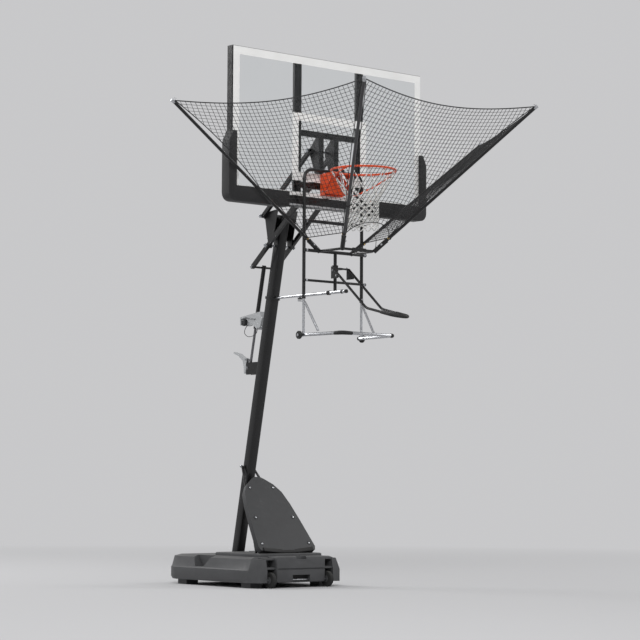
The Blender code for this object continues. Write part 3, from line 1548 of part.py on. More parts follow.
def add_knob():
    """The lock knob in the opening on the housing's left side."""
    y, z = KNOB_PLACE
    face = -HOUSING_WEB_HALF_WIDTH - GAP
    look = grey_plastic
    knob = rod("lock_knob", (face, y, z), (face - KNOB_WIDTH, y, z), KNOB_RADIUS, look, 20)
    shaft = rod("shaft", (face - 0.002, y, z), (face + 0.024, y, z), KNOB_SHAFT)
    return combine(knob, [shaft])


def add_tether():
    """A short loop of cable from the back of the housing round to its nose."""
    beside_web = -HOUSING_WEB_HALF_WIDTH - TETHER_RADIUS - GAP
    beside_shell = -HOUSING_HALF_WIDTH - TETHER_RADIUS - GAP
    route = (
        (beside_web, 0.950, 1.985),
        (beside_web - 0.004, 0.975, 1.958),
        (beside_shell, 0.972, 1.922),
        (beside_shell, 0.930, 1.896),
        (beside_shell, 0.872, 1.898),
        (beside_shell, 0.828, 1.918),
        (beside_shell, 0.812, 1.956),
    )
    points = smooth_route(route, 4)
    look = material("lock_tether", (0.10, 0.10, 0.11), 0.5)
    return bent_tube("lock_tether", points, TETHER_RADIUS, look, 2)


def smooth_route(route, steps):
    """Points along a smooth curve through a route's own points."""
    route = [Vector(point) for point in route]
    padded = [2 * route[0] - route[1], *route, 2 * route[-1] - route[-2]]
    points = []
    for a, b, c, d in zip(padded, padded[1:], padded[2:], padded[3:]):
        for step in range(steps):
            t = step / steps
            points.append(
                0.5 * (2 * b + (c - a) * t + (2 * a - 5 * b + 4 * c - d) * t**2 + (3 * b - a - 3 * c + d) * t**3)
            )
    points.append(route[-1])
    return points


def add_lever():
    """The curved trigger that frees the lock, on a pin through the rod's lug."""
    y, z = LEVER_PIVOT
    outline = [
        (y - 0.010, z - 0.006),
        (y - 0.004, z - 0.080),
        (y + 0.006, z - 0.110),
        (y + 0.018, z - 0.108),
        (y + 0.020, z - 0.060),
        (y + 0.034, z - 0.010),
        (y + 0.090, z + 0.030),
        (y + 0.150, z + 0.052),
        (y + 0.148, z + 0.064),
        (y + 0.080, z + 0.048),
        (y + 0.020, z + 0.014),
        (y - 0.006, z + 0.012),
    ]
    look = material("trigger_lever", (0.70, 0.71, 0.72), 0.35)
    lever = flat_plate("trigger_lever", [outline], 2 * LEVER_HALF_WIDTH, side_plane(), look)
    slot_wide = LEVER_LUG + 2 * GAP
    slot = box(
        "slot",
        (-slot_wide, y - 0.030, z - 0.030),
        (slot_wide, y + 0.014, z + 0.030),
    )
    combine(lever, [slot], "DIFFERENCE")
    pin = cross_rod("pin", LEVER_HALF_WIDTH - 0.001, LEVER_PIVOT, LEVER_PIN)
    return combine(lever, [pin])


# Joints and assembly

JOINT_NODES = {
    "pivot_fill_cap": ("fill_cap",),
    "pivot_wheel_left": ("wheel_left",),
    "pivot_wheel_right": ("wheel_right",),
    "pivot_lower_arms": ("lower_arm_left", "lower_arm_right"),
    "pivot_upper_arms": ("upper_arm_left", "upper_arm_right"),
    "pivot_rim": ("rim", "rim_net"),
    "pivot_chute": ("chute_rails", "chute_plate"),
    "slide_rod": ("actuator_rod", "actuator_pivot_pin"),
    "pivot_tube": ("actuator_tube", "actuator_housing", "lock_tether"),
    "pivot_lever": ("trigger_lever",),
    "pivot_knob": ("lock_knob",),
    "pivot_stand_wheel_left": ("stand_wheel_left",),
    "pivot_stand_wheel_right": ("stand_wheel_right",),
    "slide_brace": ("brace_rod",),
    "pivot_brace_knob": ("brace_knob",),
}


def joint_places():
    """A point on each joint's axis."""
    stand_axle_y = STAND_BACK_Y - TUBE
    return {
        "pivot_fill_cap": (*CAP_PLACE, TANK_TOP_Z),
        "pivot_wheel_left": (-WHEEL_X, WHEEL_Y, WHEEL_Z),
        "pivot_wheel_right": (WHEEL_X, WHEEL_Y, WHEEL_Z),
        "pivot_lower_arms": (0, *POLE_PIVOT_LOWER),
        "pivot_upper_arms": (0, *POLE_PIVOT_UPPER),
        "pivot_rim": (0, RIM_HINGE_Y, RIM_HINGE_Z),
        "pivot_chute": (0, BAR_Y, CHUTE_COLLAR_Z[0]),
        "slide_rod": (0, *ACTUATOR_FOOT),
        "pivot_tube": (0, *LIFT_TAIL_END),
        "pivot_lever": (0, *LEVER_PIVOT),
        "pivot_knob": (-HOUSING_WEB_HALF_WIDTH, *KNOB_PLACE),
        "pivot_stand_wheel_left": (-LEG_X, stand_axle_y, STAND_Z),
        "pivot_stand_wheel_right": (LEG_X, stand_axle_y, STAND_Z),
        "slide_brace": (0, BRACE_TUBE_BACK_Y, BRACE_Z),
        "pivot_brace_knob": (0, BRACE_TUBE_BACK_Y - BRACE_KNOB_INSET, BRACE_Z),
    }


def hang_on_pivots():
    """Parent each moving piece to an empty on its joint's axis."""
    for name, spot in joint_places().items():
        pivot = bpy.data.objects.new(name, None)
        pivot.empty_display_size = 0.05
        pivot.location = spot
        PARTS.objects.link(pivot)
        bpy.context.view_layer.update()
        for node in JOINT_NODES[name]:
            obj = bpy.data.objects[node]
            world = obj.matrix_world.copy()
            obj.parent = pivot
            obj.matrix_world = world
    bpy.context.view_layer.update()


def centre_footprint():
    """Move everything along Y, so that the middle of the footprint comes to the origin."""
    for obj in bpy.data.objects:
        if obj.parent is None:
            obj.location.y -= FOOTPRINT_MIDDLE_Y
    bpy.context.view_layer.update()


def build():
    clear_scene()
    add_pane()
    add_board_frame()
    add_carriage()
    add_pad("pad_left", -1)
    add_pad("pad_right", 1)
    add_rim_mount()
    add_rim()
    add_rim_hinge()
    add_rim_net()
    add_main_frame()
    add_cross_bars()
    add_ring_frame()
    add_net_arms()
    add_panels()
    add_chute()
    add_chute_plate()
    add_stand()
    add_stand_strut("stand_strut_left", -1)
    add_stand_strut("stand_strut_right", 1)
    add_brace()
    add_pole()
    add_clamp()
    add_tank()
    add_wheels()
    add_fill_cap()
    add_pole_strut("pole_strut_left", -1)
    add_pole_strut("pole_strut_right", 1)
    add_cover()
    add_pole_bracket()
    add_lift_pins()
    add_lift_arms()
    add_actuator()
    add_actuator_bracket()
    add_housing()
    add_knob()
    add_tether()
    add_lever()
    hang_on_pivots()
    centre_footprint()


build()
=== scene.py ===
"""Basketball shooting machine under a portable hoop: its nets, ropes, pads, fittings, finishes and studio.

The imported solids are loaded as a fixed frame. Every new piece is a surface worked out with numpy and
rides on one of the frame's bodies. Sizes below are measured from the board's front face, in metres,
and are moved by FACE_Y into the frame's own place. The player looks along +Y, and +X is on the right.
"""

import json
import math

import bmesh
import bpy
import numpy as np
from mathutils import Matrix


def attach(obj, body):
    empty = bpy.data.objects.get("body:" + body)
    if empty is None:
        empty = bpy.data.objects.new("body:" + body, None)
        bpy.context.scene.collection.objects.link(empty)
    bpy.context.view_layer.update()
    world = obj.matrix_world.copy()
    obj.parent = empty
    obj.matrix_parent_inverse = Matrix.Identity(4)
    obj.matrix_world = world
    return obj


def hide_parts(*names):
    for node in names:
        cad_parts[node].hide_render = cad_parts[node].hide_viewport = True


bl_info = {
    "name": "Basketball Shooting Machine",
    "version": (1, 0, 0),
    "blender": (4, 5, 0),
    "location": "3D View > Sidebar > Machine",
    "description": "Dresses the shooting machine and its hoop, and sets up its studio",
    "category": "Add Mesh",
}

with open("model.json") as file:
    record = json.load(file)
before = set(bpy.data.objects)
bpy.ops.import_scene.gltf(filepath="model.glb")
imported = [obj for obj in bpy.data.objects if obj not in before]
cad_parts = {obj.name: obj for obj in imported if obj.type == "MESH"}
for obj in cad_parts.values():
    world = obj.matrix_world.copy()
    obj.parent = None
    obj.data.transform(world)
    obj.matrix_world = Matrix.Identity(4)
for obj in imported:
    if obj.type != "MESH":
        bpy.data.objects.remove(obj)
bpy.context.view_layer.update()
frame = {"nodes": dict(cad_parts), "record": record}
NODE_SLOTS = {row["node"]: row["material_slot"] for row in frame["record"]["subparts"]}

FACE_Y = -0.03386
EYE = np.eye(3)
ORIGIN = (0.0, 0.0, 0.0)

# Hoop
RING_RADIUS = 0.2366
RING_ROD = 0.008
RING_Z = 3.048
RING_Y = -0.381
BORDER_OUTER = (-0.9105, 2.875, 0.9105, 3.908)
BORDER_INNER = (-0.8530, 2.903, 0.8530, 3.851)
TARGET_OUTER = (-0.3585, 2.986, 0.3585, 3.488)
TARGET_INNER = (-0.3000, 3.051, 0.3000, 3.431)
PAD_TOP_X = 0.9245
PAD_TAPER_Z = 3.205
PAD_TAPER_HEIGHT = 0.085
PAD_CUTS = (PAD_TAPER_Z, 3.230, 3.252, 3.270)
PAD_EDGE = 0.004
FILM_FRONT = -0.00022
FILM_BACK = -0.00002
RING_HOOKS = 12
HOOK_HALF_WIDTH = 0.011
HOOK_DROP = 0.0145

# Ball net: height and radius of each row of knots, and then its other sizes
BALL_NET_ROWS = (
    (3.0335, 0.2335), (2.9250, 0.1640), (2.8680, 0.1270), (2.8380, 0.1170),
    (2.8120, 0.1110), (2.7860, 0.1085), (2.7610, 0.1095), (2.7360, 0.1085),
    (2.7110, 0.1095), (2.6870, 0.1085), (2.6650, 0.1100), (2.6450, 0.1100),
)
BALL_NET_KNOTS = 12
BALL_NET_SLACK = 0.003
BALL_NET_LOOP = 0.030
BALL_NET_HALF_KNOT = 0.007
BALL_NET_EYE = 0.005

# Net fan: each pole's turn from the front, its rise and its length; ties are given by their reach
BAR_Y = -0.0694
LOOP_Z = 2.470
LOOP_HALF_WIDTH = 0.155
LOOP_FRONT_Y = -0.330
POLE_RADIUS = 0.0115
FRONT_POLE = (math.radians(33.8), math.radians(40.3), 1.588)
BACK_POLE = (math.radians(90.0), math.radians(35.6), 1.658)
HEM_REACH = 0.150
TOP_REACH = 0.020
SIDE_DROOP = 0.105
FRONT_DROOP = 0.120
FRONT_HEM_RISE = 0.130
FRONT_TIES = (0.150, 0.420, 1.568)
BACK_TIES = (0.150, 0.400, 0.700, 1.638)
EDGE_BOW = 0.045
TIGHT_EDGE_BOW = 0.010
EDGE_CLEARANCE = 0.0035
EDGE_CORD_RADIUS = 0.0032
EDGE_POINTS = 49
HEM_TIE = ((0.147, -0.330, 2.592), (0.163, -0.338, 2.560), (0.163, -0.336, 2.515), (0.156, -0.333, 2.480))
# Each panel: its two poles (side, front), how far its rope droops and how far its hem rises
PANELS = {
    "left": ((-1, False), (-1, True), SIDE_DROOP, 0.0),
    "front": ((-1, True), (1, True), FRONT_DROOP, FRONT_HEM_RISE),
    "right": ((1, True), (1, False), SIDE_DROOP, 0.0),
}

# Frame, chute and base; the cover leans back by COVER_LEAN for each metre of height
LEG_X = 0.279
LEG_Y = -0.045
UPPER_BAR_Z = 2.686
LOWER_BAR_Z = 2.250
STAND_Z = 1.850
BRACE_Z = 2.1772
CHUTE_HALF_WIDTH = 0.075
COVER_Y = 0.4509
COVER_Z = 0.2747
COVER_LEAN = 0.7169
COVER_BOLTS = ((0.112, 0.737), (0.180, 0.515), (0.225, 0.323))

# Nuts at both sides: piece, body, then x, y, z and size of each pair
SIDE_NUTS = (
    ("pole_pin_nuts", "base", (0.1378, 0.649, 2.797, 0.0105), (0.1378, 0.586, 2.568, 0.0105)),
    ("board_pin_nuts", "board", (0.1378, 0.099, 3.237, 0.0105), (0.1378, 0.036, 3.008, 0.0105)),
    ("arm_tail_nuts", "lower_arms", (0.1222, 0.7734, 2.4181, 0.0085)),
)

# Actuator's retaining cord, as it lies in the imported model
TETHER_ROUTE = (
    (-0.0158, 0.950, 1.985), (-0.0198, 0.975, 1.958), (-0.0268, 0.972, 1.922), (-0.0268, 0.930, 1.896),
    (-0.0268, 0.872, 1.898), (-0.0268, 0.828, 1.918), (-0.0268, 0.812, 1.956),
)
TETHER_THICKNESS = 0.005

# Finishes: dust, and how far cloudiness swings a dark and a light colour
DUST_COLOUR = (0.34, 0.33, 0.31, 1.0)
DARK_BELOW = 0.3
DARK_SWING = 0.13
LIGHT_SWING = 0.03

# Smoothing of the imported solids
MERGE_DISTANCE = 0.00002
SHARP_ANGLE = math.radians(34)

# Camera: how far it is turned from +Y, its pitch, its roll, its place and its lens in millimetres
CAMERA_TURN = math.radians(40.01)
CAMERA_PITCH = math.radians(4.28)
CAMERA_ROLL = math.radians(0.33)
CAMERA_PLACE = (-10.285, -12.152, 0.784)
LENS, SENSOR_WIDTH = 121.6, 36.0

# Floor: its radius, and where it starts and ends to fade
FLOOR_RADIUS = 30
FADE_START, FADE_END = 3.0, 11.0
WORLD_LIGHT = 0.50

# Lamps: name, place, height of the point each looks at, power and size
LAMPS = (
    ("key", (-7.0, -8.0, 8.5), 2.0, 620, 4.5),
    ("fill", (10.0, -3.0, 6.5), 2.0, 300, 4.5),
    ("back", (-3.5, 8.0, 7.5), 2.2, 480, 4.0),
)


# Surfaces


def unit(vectors):
    """Each vector divided by its length."""
    vectors = np.asarray(vectors, float)
    return vectors / np.linalg.norm(vectors, axis=-1, keepdims=True)


def flat_unit(vectors):
    """Each vector's share along the floor, divided by its length."""
    return unit(vectors * (1, 1, 0))


def arc(angle, first, second):
    """Points round the origin, one for each angle a: cos a * first + sin a * second."""
    return np.cos(angle)[..., None] * first + np.sin(angle)[..., None] * second


def whole_turn(count, start=0.0):
    """Angles that share a whole turn evenly."""
    return 2 * np.pi * (np.arange(count) + start) / count


def bend(start, corner, end, steps):
    """A curve drawn to a corner: (1-t)^2 * start + 2t(1-t) * corner + t^2 * end, t from 0 to 1."""
    t = np.linspace(0, 1, steps)[:, None]
    return (1 - t) ** 2 * start + 2 * t * (1 - t) * corner + t**2 * end


def skin(rings, looped=False, travel=None):
    """A surface through rings of points: point j of ring i is row i*m + j, each quad joins two rings.

    An open surface is closed by a flat face at each end. The UV's U goes round once, V is travel.
    Where many surfaces of the same size are given, their points follow one after another."""
    rings = np.asarray(rings, float)
    count, m = rings.shape[-3:-1]
    many = rings.size // (3 * count * m)
    if travel is None:
        travel = np.linspace(0.0, 1.0, count)
    travel = np.atleast_2d(travel)
    step = np.hstack([travel, travel[:, -1:] + travel[:, 1:2] - travel[:, :1]])
    spans = count if looped else count - 1
    s, i, j = np.meshgrid(np.arange(many), np.arange(spans), np.arange(m), indexing="ij")
    here, after, beside = s * count + i, s * count + (i + 1) % count, (j + 1) % m
    quads = np.stack([here * m + j, here * m + beside, after * m + beside, after * m + j], -1)
    u = np.stack([j, j + 1, j + 1, j], -1) / m
    v = np.stack([step[s, i], step[s, i], step[s, i + 1], step[s, i + 1]], -1)
    faces = quads.reshape(-1, 4).tolist()
    uv = np.stack([u, v], -1).reshape(-1, 2)
    if not looped:
        cap = np.arange(many)[:, None] * count * m + np.arange(m)
        faces += [*cap[:, ::-1].tolist(), *(cap + (count - 1) * m).tolist()]
        uv = np.vstack([uv, np.zeros((2 * cap.size, 2))])
    return rings.reshape(-1, 3), faces, uv


def round_bars(paths, ahead, side, radius, angle, looped=False):
    """Round bars along paths: centre + radius (cos a * first + sin a * second).

    First is the side direction with its share along the path taken off, second is the path's
    direction crossed with first."""
    first = unit(side - (side * ahead).sum(-1, keepdims=True) * ahead)[..., None, :]
    circle = arc(angle, first, np.cross(ahead[..., None, :], first))
    steps = np.linalg.norm(np.diff(paths, axis=-2), axis=-1)
    travel = np.concatenate([np.zeros_like(steps[..., :1]), steps.cumsum(-1)], -1)
    return skin(paths[..., None, :] + radius * circle, looped, travel)


def tube(path, radius, sides=12, looped=False, side=None):
    """One round bar, of one radius or with a radius at each point of its path."""
    path = np.asarray(path, float)
    if looped:
        ahead = unit(np.roll(path, -1, 0) - np.roll(path, 1, 0))
    else:
        ahead = unit(np.gradient(path, axis=0))
    if side is None:
        side = EYE[np.argmin(np.abs(ahead).sum(0))]
    size = np.broadcast_to(np.asarray(radius, float), len(path))[:, None, None]
    return round_bars(path, ahead, side, size, whole_turn(sides), looped)


def sleeve(path, radius, end_radius):
    """A sleeve on a bent bar: a tube that narrows to the bar at both ends."""
    girth = [end_radius] + [radius] * (len(path) - 2) + [end_radius]
    return tube(path, girth, 16, side=EYE[2])


def turned(profile, centre, axis, sides=24):
    """A profile of (radius, distance along the axis) carried round the axis through centre."""
    profile = np.asarray(profile, float)
    axis = unit(axis)
    first = unit(np.cross(axis, EYE[np.argmin(np.abs(axis))]))
    middle = np.asarray(centre, float) + profile[:, 1, None] * axis
    circle = arc(whole_turn(sides), first, np.cross(axis, first))
    return skin(middle[:, None] + profile[:, 0, None, None] * circle)


def slab(outline, origin, across, up, depth, edge=0.0):
    """A flat plate: its outline (across, up) at the front and at depth behind, eased by edge.

    The eased rings are the outline drawn in towards its middle by edge over its widest reach."""
    outline = np.asarray(outline, float)
    across, up = unit(across), unit(up)
    out = np.cross(across, up)
    middle = (outline.min(0) + outline.max(0)) / 2
    reach = outline - middle
    drawn = middle + reach * (1 - edge / np.abs(reach).max(0))
    levels = [(drawn, 0.0), (outline, edge), (outline, depth - edge), (drawn, depth)]
    if not edge:
        levels = [(outline, 0.0), (outline, depth)]
    rings = [np.asarray(origin) + o[:, :1] * across + o[:, 1:] * up - d * out for o, d in levels]
    return skin(rings)


def window(outer, inner, front_y, back_y):
    """A flat frame between two rectangles (left, bottom, right, top) in the plane of the board."""

    def corners(rectangle, y):
        left, bottom, right, top = rectangle
        return [(left, y, bottom), (right, y, bottom), (right, y, top), (left, y, top)]

    rings = ((outer, front_y), (outer, back_y), (inner, back_y), (inner, front_y))
    return skin([corners(*ring) for ring in rings], True)


def flowing(points, steps=8):
    """A smooth line through points: between two of them, the cubic of the four nearest points."""
    p = np.asarray(points, float)
    q = np.vstack([2 * p[0] - p[1], p, 2 * p[-1] - p[-2]])
    t = np.linspace(0, 1, steps, endpoint=False)[:, None]
    a, b, c, d = (q[i : len(q) - 3 + i][:, None] for i in range(4))
    square, cube = a - 2.5 * b + 2 * c - d / 2, 1.5 * b - a / 2 - 1.5 * c + d / 2
    line = b + t * (c - a) / 2 + t**2 * square + t**3 * cube
    return np.vstack([line.reshape(-1, 3), p[-1]])


def strands(paths, radius, sides=4):
    """Many round bars at once, one along each path of the same number of points."""
    paths = np.asarray(paths, float)
    ahead = unit(np.gradient(paths, axis=1))
    side = np.where(np.abs(ahead[..., 2:]) > 0.9, EYE[0], EYE[2])
    return round_bars(paths, ahead, side, radius, whole_turn(sides, 0.5))


def knots(centres, radius):
    """A small eight-sided lump at each centre."""
    corners = np.concatenate([EYE, -EYE]) * radius
    points = (np.asarray(centres)[:, None] + corners).reshape(-1, 3)
    sides = [(0, 1, 2), (1, 3, 2), (3, 4, 2), (4, 0, 2), (1, 0, 5), (3, 1, 5), (4, 3, 5), (0, 4, 5)]
    faces = (np.arange(len(centres))[:, None, None] * 6 + np.array(sides)).reshape(-1, 3)
    return points, faces.tolist(), np.zeros((faces.size, 2))


def in_frame(points):
    """Points measured from the board's face, moved into the frame's place."""
    return (np.asarray(points, float) + (0.0, FACE_Y, 0.0)).tolist()


def add_object(name, data):
    """An object of that data, in the scene."""
    obj = bpy.data.objects.new(name, data)
    bpy.context.scene.collection.objects.link(obj)
    return obj


def dressed_object(mesh, work, body, look):
    """The mesh's object, its faces turned outwards and smooth, with its finish and body."""
    bmesh.ops.recalc_face_normals(work, faces=work.faces)
    work.to_mesh(mesh)
    work.free()
    mesh.shade_smooth()
    mesh.materials.append(finish(look))
    obj = add_object(mesh.name, mesh)
    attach(obj, body)
    return obj


def piece(name, body, shells, look, sharp=38.0):
    """One mesh object of all the shells, in the frame's place, riding on a body."""
    faces, start = [], 0
    for points, corners, _ in shells:
        faces += [[start + corner for corner in face] for face in corners]
        start += len(points)
    mesh = bpy.data.meshes.new(name)
    mesh.from_pydata(in_frame(np.vstack([shell[0] for shell in shells])), [], faces)
    uv = np.vstack([shell[2] for shell in shells]).astype(np.float32)
    mesh.uv_layers.new(name="UVMap").data.foreach_set("uv", uv.ravel())
    work = bmesh.new()
    work.from_mesh(mesh)
    obj = dressed_object(mesh, work, body, look)
    mesh.set_sharp_from_angle(angle=math.radians(sharp))
    return obj


# Finishes


def fill_inputs(tree, node, inputs):
    """Each of a node's inputs linked to a socket or set to a value."""
    for key, value in inputs.items():
        if isinstance(value, bpy.types.NodeSocket):
            tree.links.new(value, node.inputs[key])
        else:
            node.inputs[key].default_value = value
    return node


def add_node(tree, kind, inputs=None, **settings):
    """A node with its settings and its inputs."""
    node = tree.nodes.new(kind)
    for key, value in settings.items():
        setattr(node, key, value)
    return fill_inputs(tree, node, inputs or {})


def calc(tree, operation, *values):
    """The output of a math node."""
    return add_node(tree, "ShaderNodeMath", dict(enumerate(values)), operation=operation).outputs[0]


def times(tree, product, *others):
    """The product of two or more values."""
    for value in others:
        product = calc(tree, "MULTIPLY", product, value)
    return product


def spread(tree, value, low, high, to_low=0.0, to_high=1.0):
    """A value between low and high moved to between to_low and to_high."""
    inputs = {0: value, 1: low, 2: high, 3: to_low, 4: to_high}
    return add_node(tree, "ShaderNodeMapRange", inputs).outputs[0]


def blend(tree, share, first, second):
    """Two colours mixed by a mask."""
    inputs = {0: share, 6: first, 7: second}
    return add_node(tree, "ShaderNodeMix", inputs, data_type="RGBA").outputs[2]


def noise(tree, vector, scale, detail=2.0, roughness=0.5):
    """A noise value."""
    inputs = {"Vector": vector, "Scale": scale, "Detail": detail, "Roughness": roughness}
    return add_node(tree, "ShaderNodeTexNoise", inputs).outputs[0]


def bump(tree, height, distance, strength=0.8):
    """The normal of a surface raised by a height."""
    inputs = {"Height": height, "Distance": distance, "Strength": strength}
    return add_node(tree, "ShaderNodeBump", inputs).outputs[0]


def opaque(colour, share=1.0):
    """A colour times a share, with an alpha of 1."""
    return (*(share * c for c in colour), 1.0)


def grain_marks(tree, start):
    """Fine grain as a height, broad cloudiness, and scuffs: thin patches where two noises are high."""
    place = start["Vector"]
    patch = spread(tree, noise(tree, place, 9.0, 4.0, 0.6), 0.56, 0.70)
    scratch = spread(tree, noise(tree, place, 140.0, 2.0, 0.7), 0.52, 0.66)
    return {
        "Height": noise(tree, place, start["Grain Scale"], 3.0, 0.65),
        "Cloud": noise(tree, place, start["Cloud Scale"], 3.0, 0.55),
        "Scuffs": times(tree, patch, scratch, start["Scuff Amount"]),
    }


def settled_dust(tree, start):
    """Dust that lies on faces that look up: the square of the normal's height times a noise."""
    height = add_node(tree, "ShaderNodeSeparateXYZ", {0: start["Normal"]}).outputs[2]
    up = spread(tree, height, 0.35, 1.0)
    patch = spread(tree, noise(tree, start["Vector"], 16.0, 5.0, 0.7), 0.35, 0.75, 0.25, 1.0)
    return {"Mask": times(tree, up, up, patch, start["Amount"])}


def laid_strands(tree, start):
    """Strands laid round a rope: the size of the sine of pi (U times strands + V times turns)."""
    split = add_node(tree, "ShaderNodeSeparateXYZ", {0: start["UV"]}).outputs
    around = times(tree, split[0], start["Strands"])
    along = times(tree, split[1], start["Turns"])
    phase = times(tree, calc(tree, "ADD", around, along), math.pi)
    return {"Height": calc(tree, "ABSOLUTE", calc(tree, "SINE", phase))}


def drawing_streaks(tree, start):
    """Drawing marks: a noise pressed flat across the drawing direction, and a plain one as spangle."""
    inputs = {0: start["Vector"], 1: start["Stretch"]}
    pressed = add_node(tree, "ShaderNodeVectorMath", inputs, operation="MULTIPLY").outputs[0]
    spangle = noise(tree, start["Vector"], 70.0, 1.0, 0.4)
    return {"Streaks": noise(tree, pressed, 60.0, 4.0, 0.6), "Spangle": spangle}


# Each shared group: its maker, and its inputs with what they are when nothing else is given
GROUPS = {
    "Grain and Scuffs": (
        grain_marks,
        {"Vector": ORIGIN, "Grain Scale": 900.0, "Cloud Scale": 7.0, "Scuff Amount": 0.4},
    ),
    "Settled Dust": (settled_dust, {"Vector": ORIGIN, "Normal": ORIGIN, "Amount": 0.3}),
    "Laid Strands": (laid_strands, {"UV": ORIGIN, "Strands": 3.0, "Turns": 90.0}),
    "Drawing Streaks": (drawing_streaks, {"Vector": ORIGIN, "Stretch": (14.0, 14.0, 1.0)}),
}


def shared_group(name):
    """The shader node group of that name, built when it is first asked for."""
    if name in bpy.data.node_groups:
        return bpy.data.node_groups[name]
    tree = bpy.data.node_groups.new(name, "ShaderNodeTree")
    maker, inputs = GROUPS[name]
    for label, value in inputs.items():
        kind = "NodeSocketFloat" if isinstance(value, float) else "NodeSocketVector"
        tree.interface.new_socket(label, in_out="INPUT", socket_type=kind).default_value = value
    made = maker(tree, tree.nodes.new("NodeGroupInput").outputs)
    for label in made:
        tree.interface.new_socket(label, in_out="OUTPUT", socket_type="NodeSocketFloat")
    fill_inputs(tree, tree.nodes.new("NodeGroupOutput"), made)
    return tree


def use_group(tree, name, inputs):
    """The outputs of a shared group, placed in a material with its own values."""
    return add_node(tree, "ShaderNodeGroup", inputs, node_tree=shared_group(name)).outputs


def new_finish(name):
    """An empty material with its shader, and the coordinates that its patterns use."""
    material = bpy.data.materials.new(name)
    material.use_nodes = True
    tree = material.node_tree
    shader = tree.nodes["Principled BSDF"]
    coordinates = tree.nodes.new("ShaderNodeTexCoord").outputs
    return material, tree, shader, coordinates


def coated(tree, coordinates, colour, worn, roughness, grain, depth, scuff, dust, coat=0.0, sheen=0.0):
    """A grained solid finish: cloudy colour, scuffs in the worn colour, dust on top, grain as bump."""
    place = coordinates["Object"]
    inputs = {"Vector": place, "Grain Scale": grain, "Scuff Amount": scuff}
    marks = use_group(tree, "Grain and Scuffs", inputs)
    normal = tree.nodes.new("ShaderNodeNewGeometry").outputs["Normal"]
    inputs = {"Vector": place, "Normal": normal, "Amount": dust}
    dusty = use_group(tree, "Settled Dust", inputs)["Mask"]
    swing = DARK_SWING if max(colour) < DARK_BELOW else LIGHT_SWING
    cloud = spread(tree, marks["Cloud"], 0.3, 0.7)
    cloudy = blend(tree, cloud, opaque(colour, 1 - swing), opaque(colour, 1 + swing))
    scuffed = blend(tree, marks["Scuffs"], cloudy, opaque(worn))
    even = spread(tree, marks["Cloud"], 0.25, 0.75, roughness - 0.06, roughness + 0.07)
    rough = calc(tree, "ADD", even, times(tree, marks["Scuffs"], 0.15))
    return {
        "Base Color": blend(tree, dusty, scuffed, DUST_COLOUR),
        "Roughness": calc(tree, "MINIMUM", calc(tree, "ADD", rough, times(tree, dusty, 0.4)), 1.0),
        "Normal": bump(tree, marks["Height"], depth),
        "Specular IOR Level": 0.36,
        "Coat Weight": coat,
        "Sheen Weight": sheen,
    }


def drawn_metal(tree, coordinates, colour, roughness):
    """Plated steel or brass: streaks and spangle vary its colour, roughness and bump."""
    marks = use_group(tree, "Drawing Streaks", {"Vector": coordinates["Object"]})
    spangle = spread(tree, marks["Spangle"], 0.35, 0.65)
    return {
        "Base Color": blend(tree, spangle, opaque(colour, 0.72), opaque(colour)),
        "Roughness": spread(tree, marks["Streaks"], 0.3, 0.7, roughness - 0.07, roughness + 0.10),
        "Normal": bump(tree, marks["Streaks"], 0.0002, 0.5),
        "Metallic": 1.0,
    }


def laid_cord(tree, coordinates, colour, roughness, turns, depth, painted_groove_shade=0.45):
    """Twisted or braided cord: the laid strands raise its bump, and its grooves are darkened as painted
    shade.
    """
    height = use_group(tree, "Laid Strands", {"UV": coordinates["UV"], "Turns": turns})["Height"]
    fuzz = noise(tree, coordinates["Object"], 700.0, 3.0, 0.7)
    # Painted shade: the grooves between the strands are darkened to a share of the cord's colour
    mixed = blend(tree, spread(tree, height, 0.0, 0.8), opaque(colour, painted_groove_shade), opaque(colour))
    worn = (*(min(1.0, 1.5 * c + 0.01) for c in colour), 1.0)
    patch = times(tree, spread(tree, fuzz, 0.5, 0.75), 0.3)
    return {
        "Base Color": blend(tree, patch, mixed, worn),
        "Roughness": spread(tree, fuzz, 0.3, 0.7, roughness - 0.08, roughness + 0.08),
        "Normal": bump(tree, calc(tree, "ADD", height, times(tree, fuzz, 0.25)), depth),
    }


def clear_acrylic(tree, coordinates):
    """Clear sheet, with faint handling marks in its roughness."""
    haze = noise(tree, coordinates["Object"], 5.0, 5.0, 0.6)
    return {
        "Base Color": blend(tree, haze, (0.90, 0.925, 0.93, 1.0), (0.94, 0.955, 0.96, 1.0)),
        "Roughness": spread(tree, haze, 0.45, 0.8, 0.015, 0.09),
        "Transmission Weight": 1.0,
        "IOR": 1.2,
    }


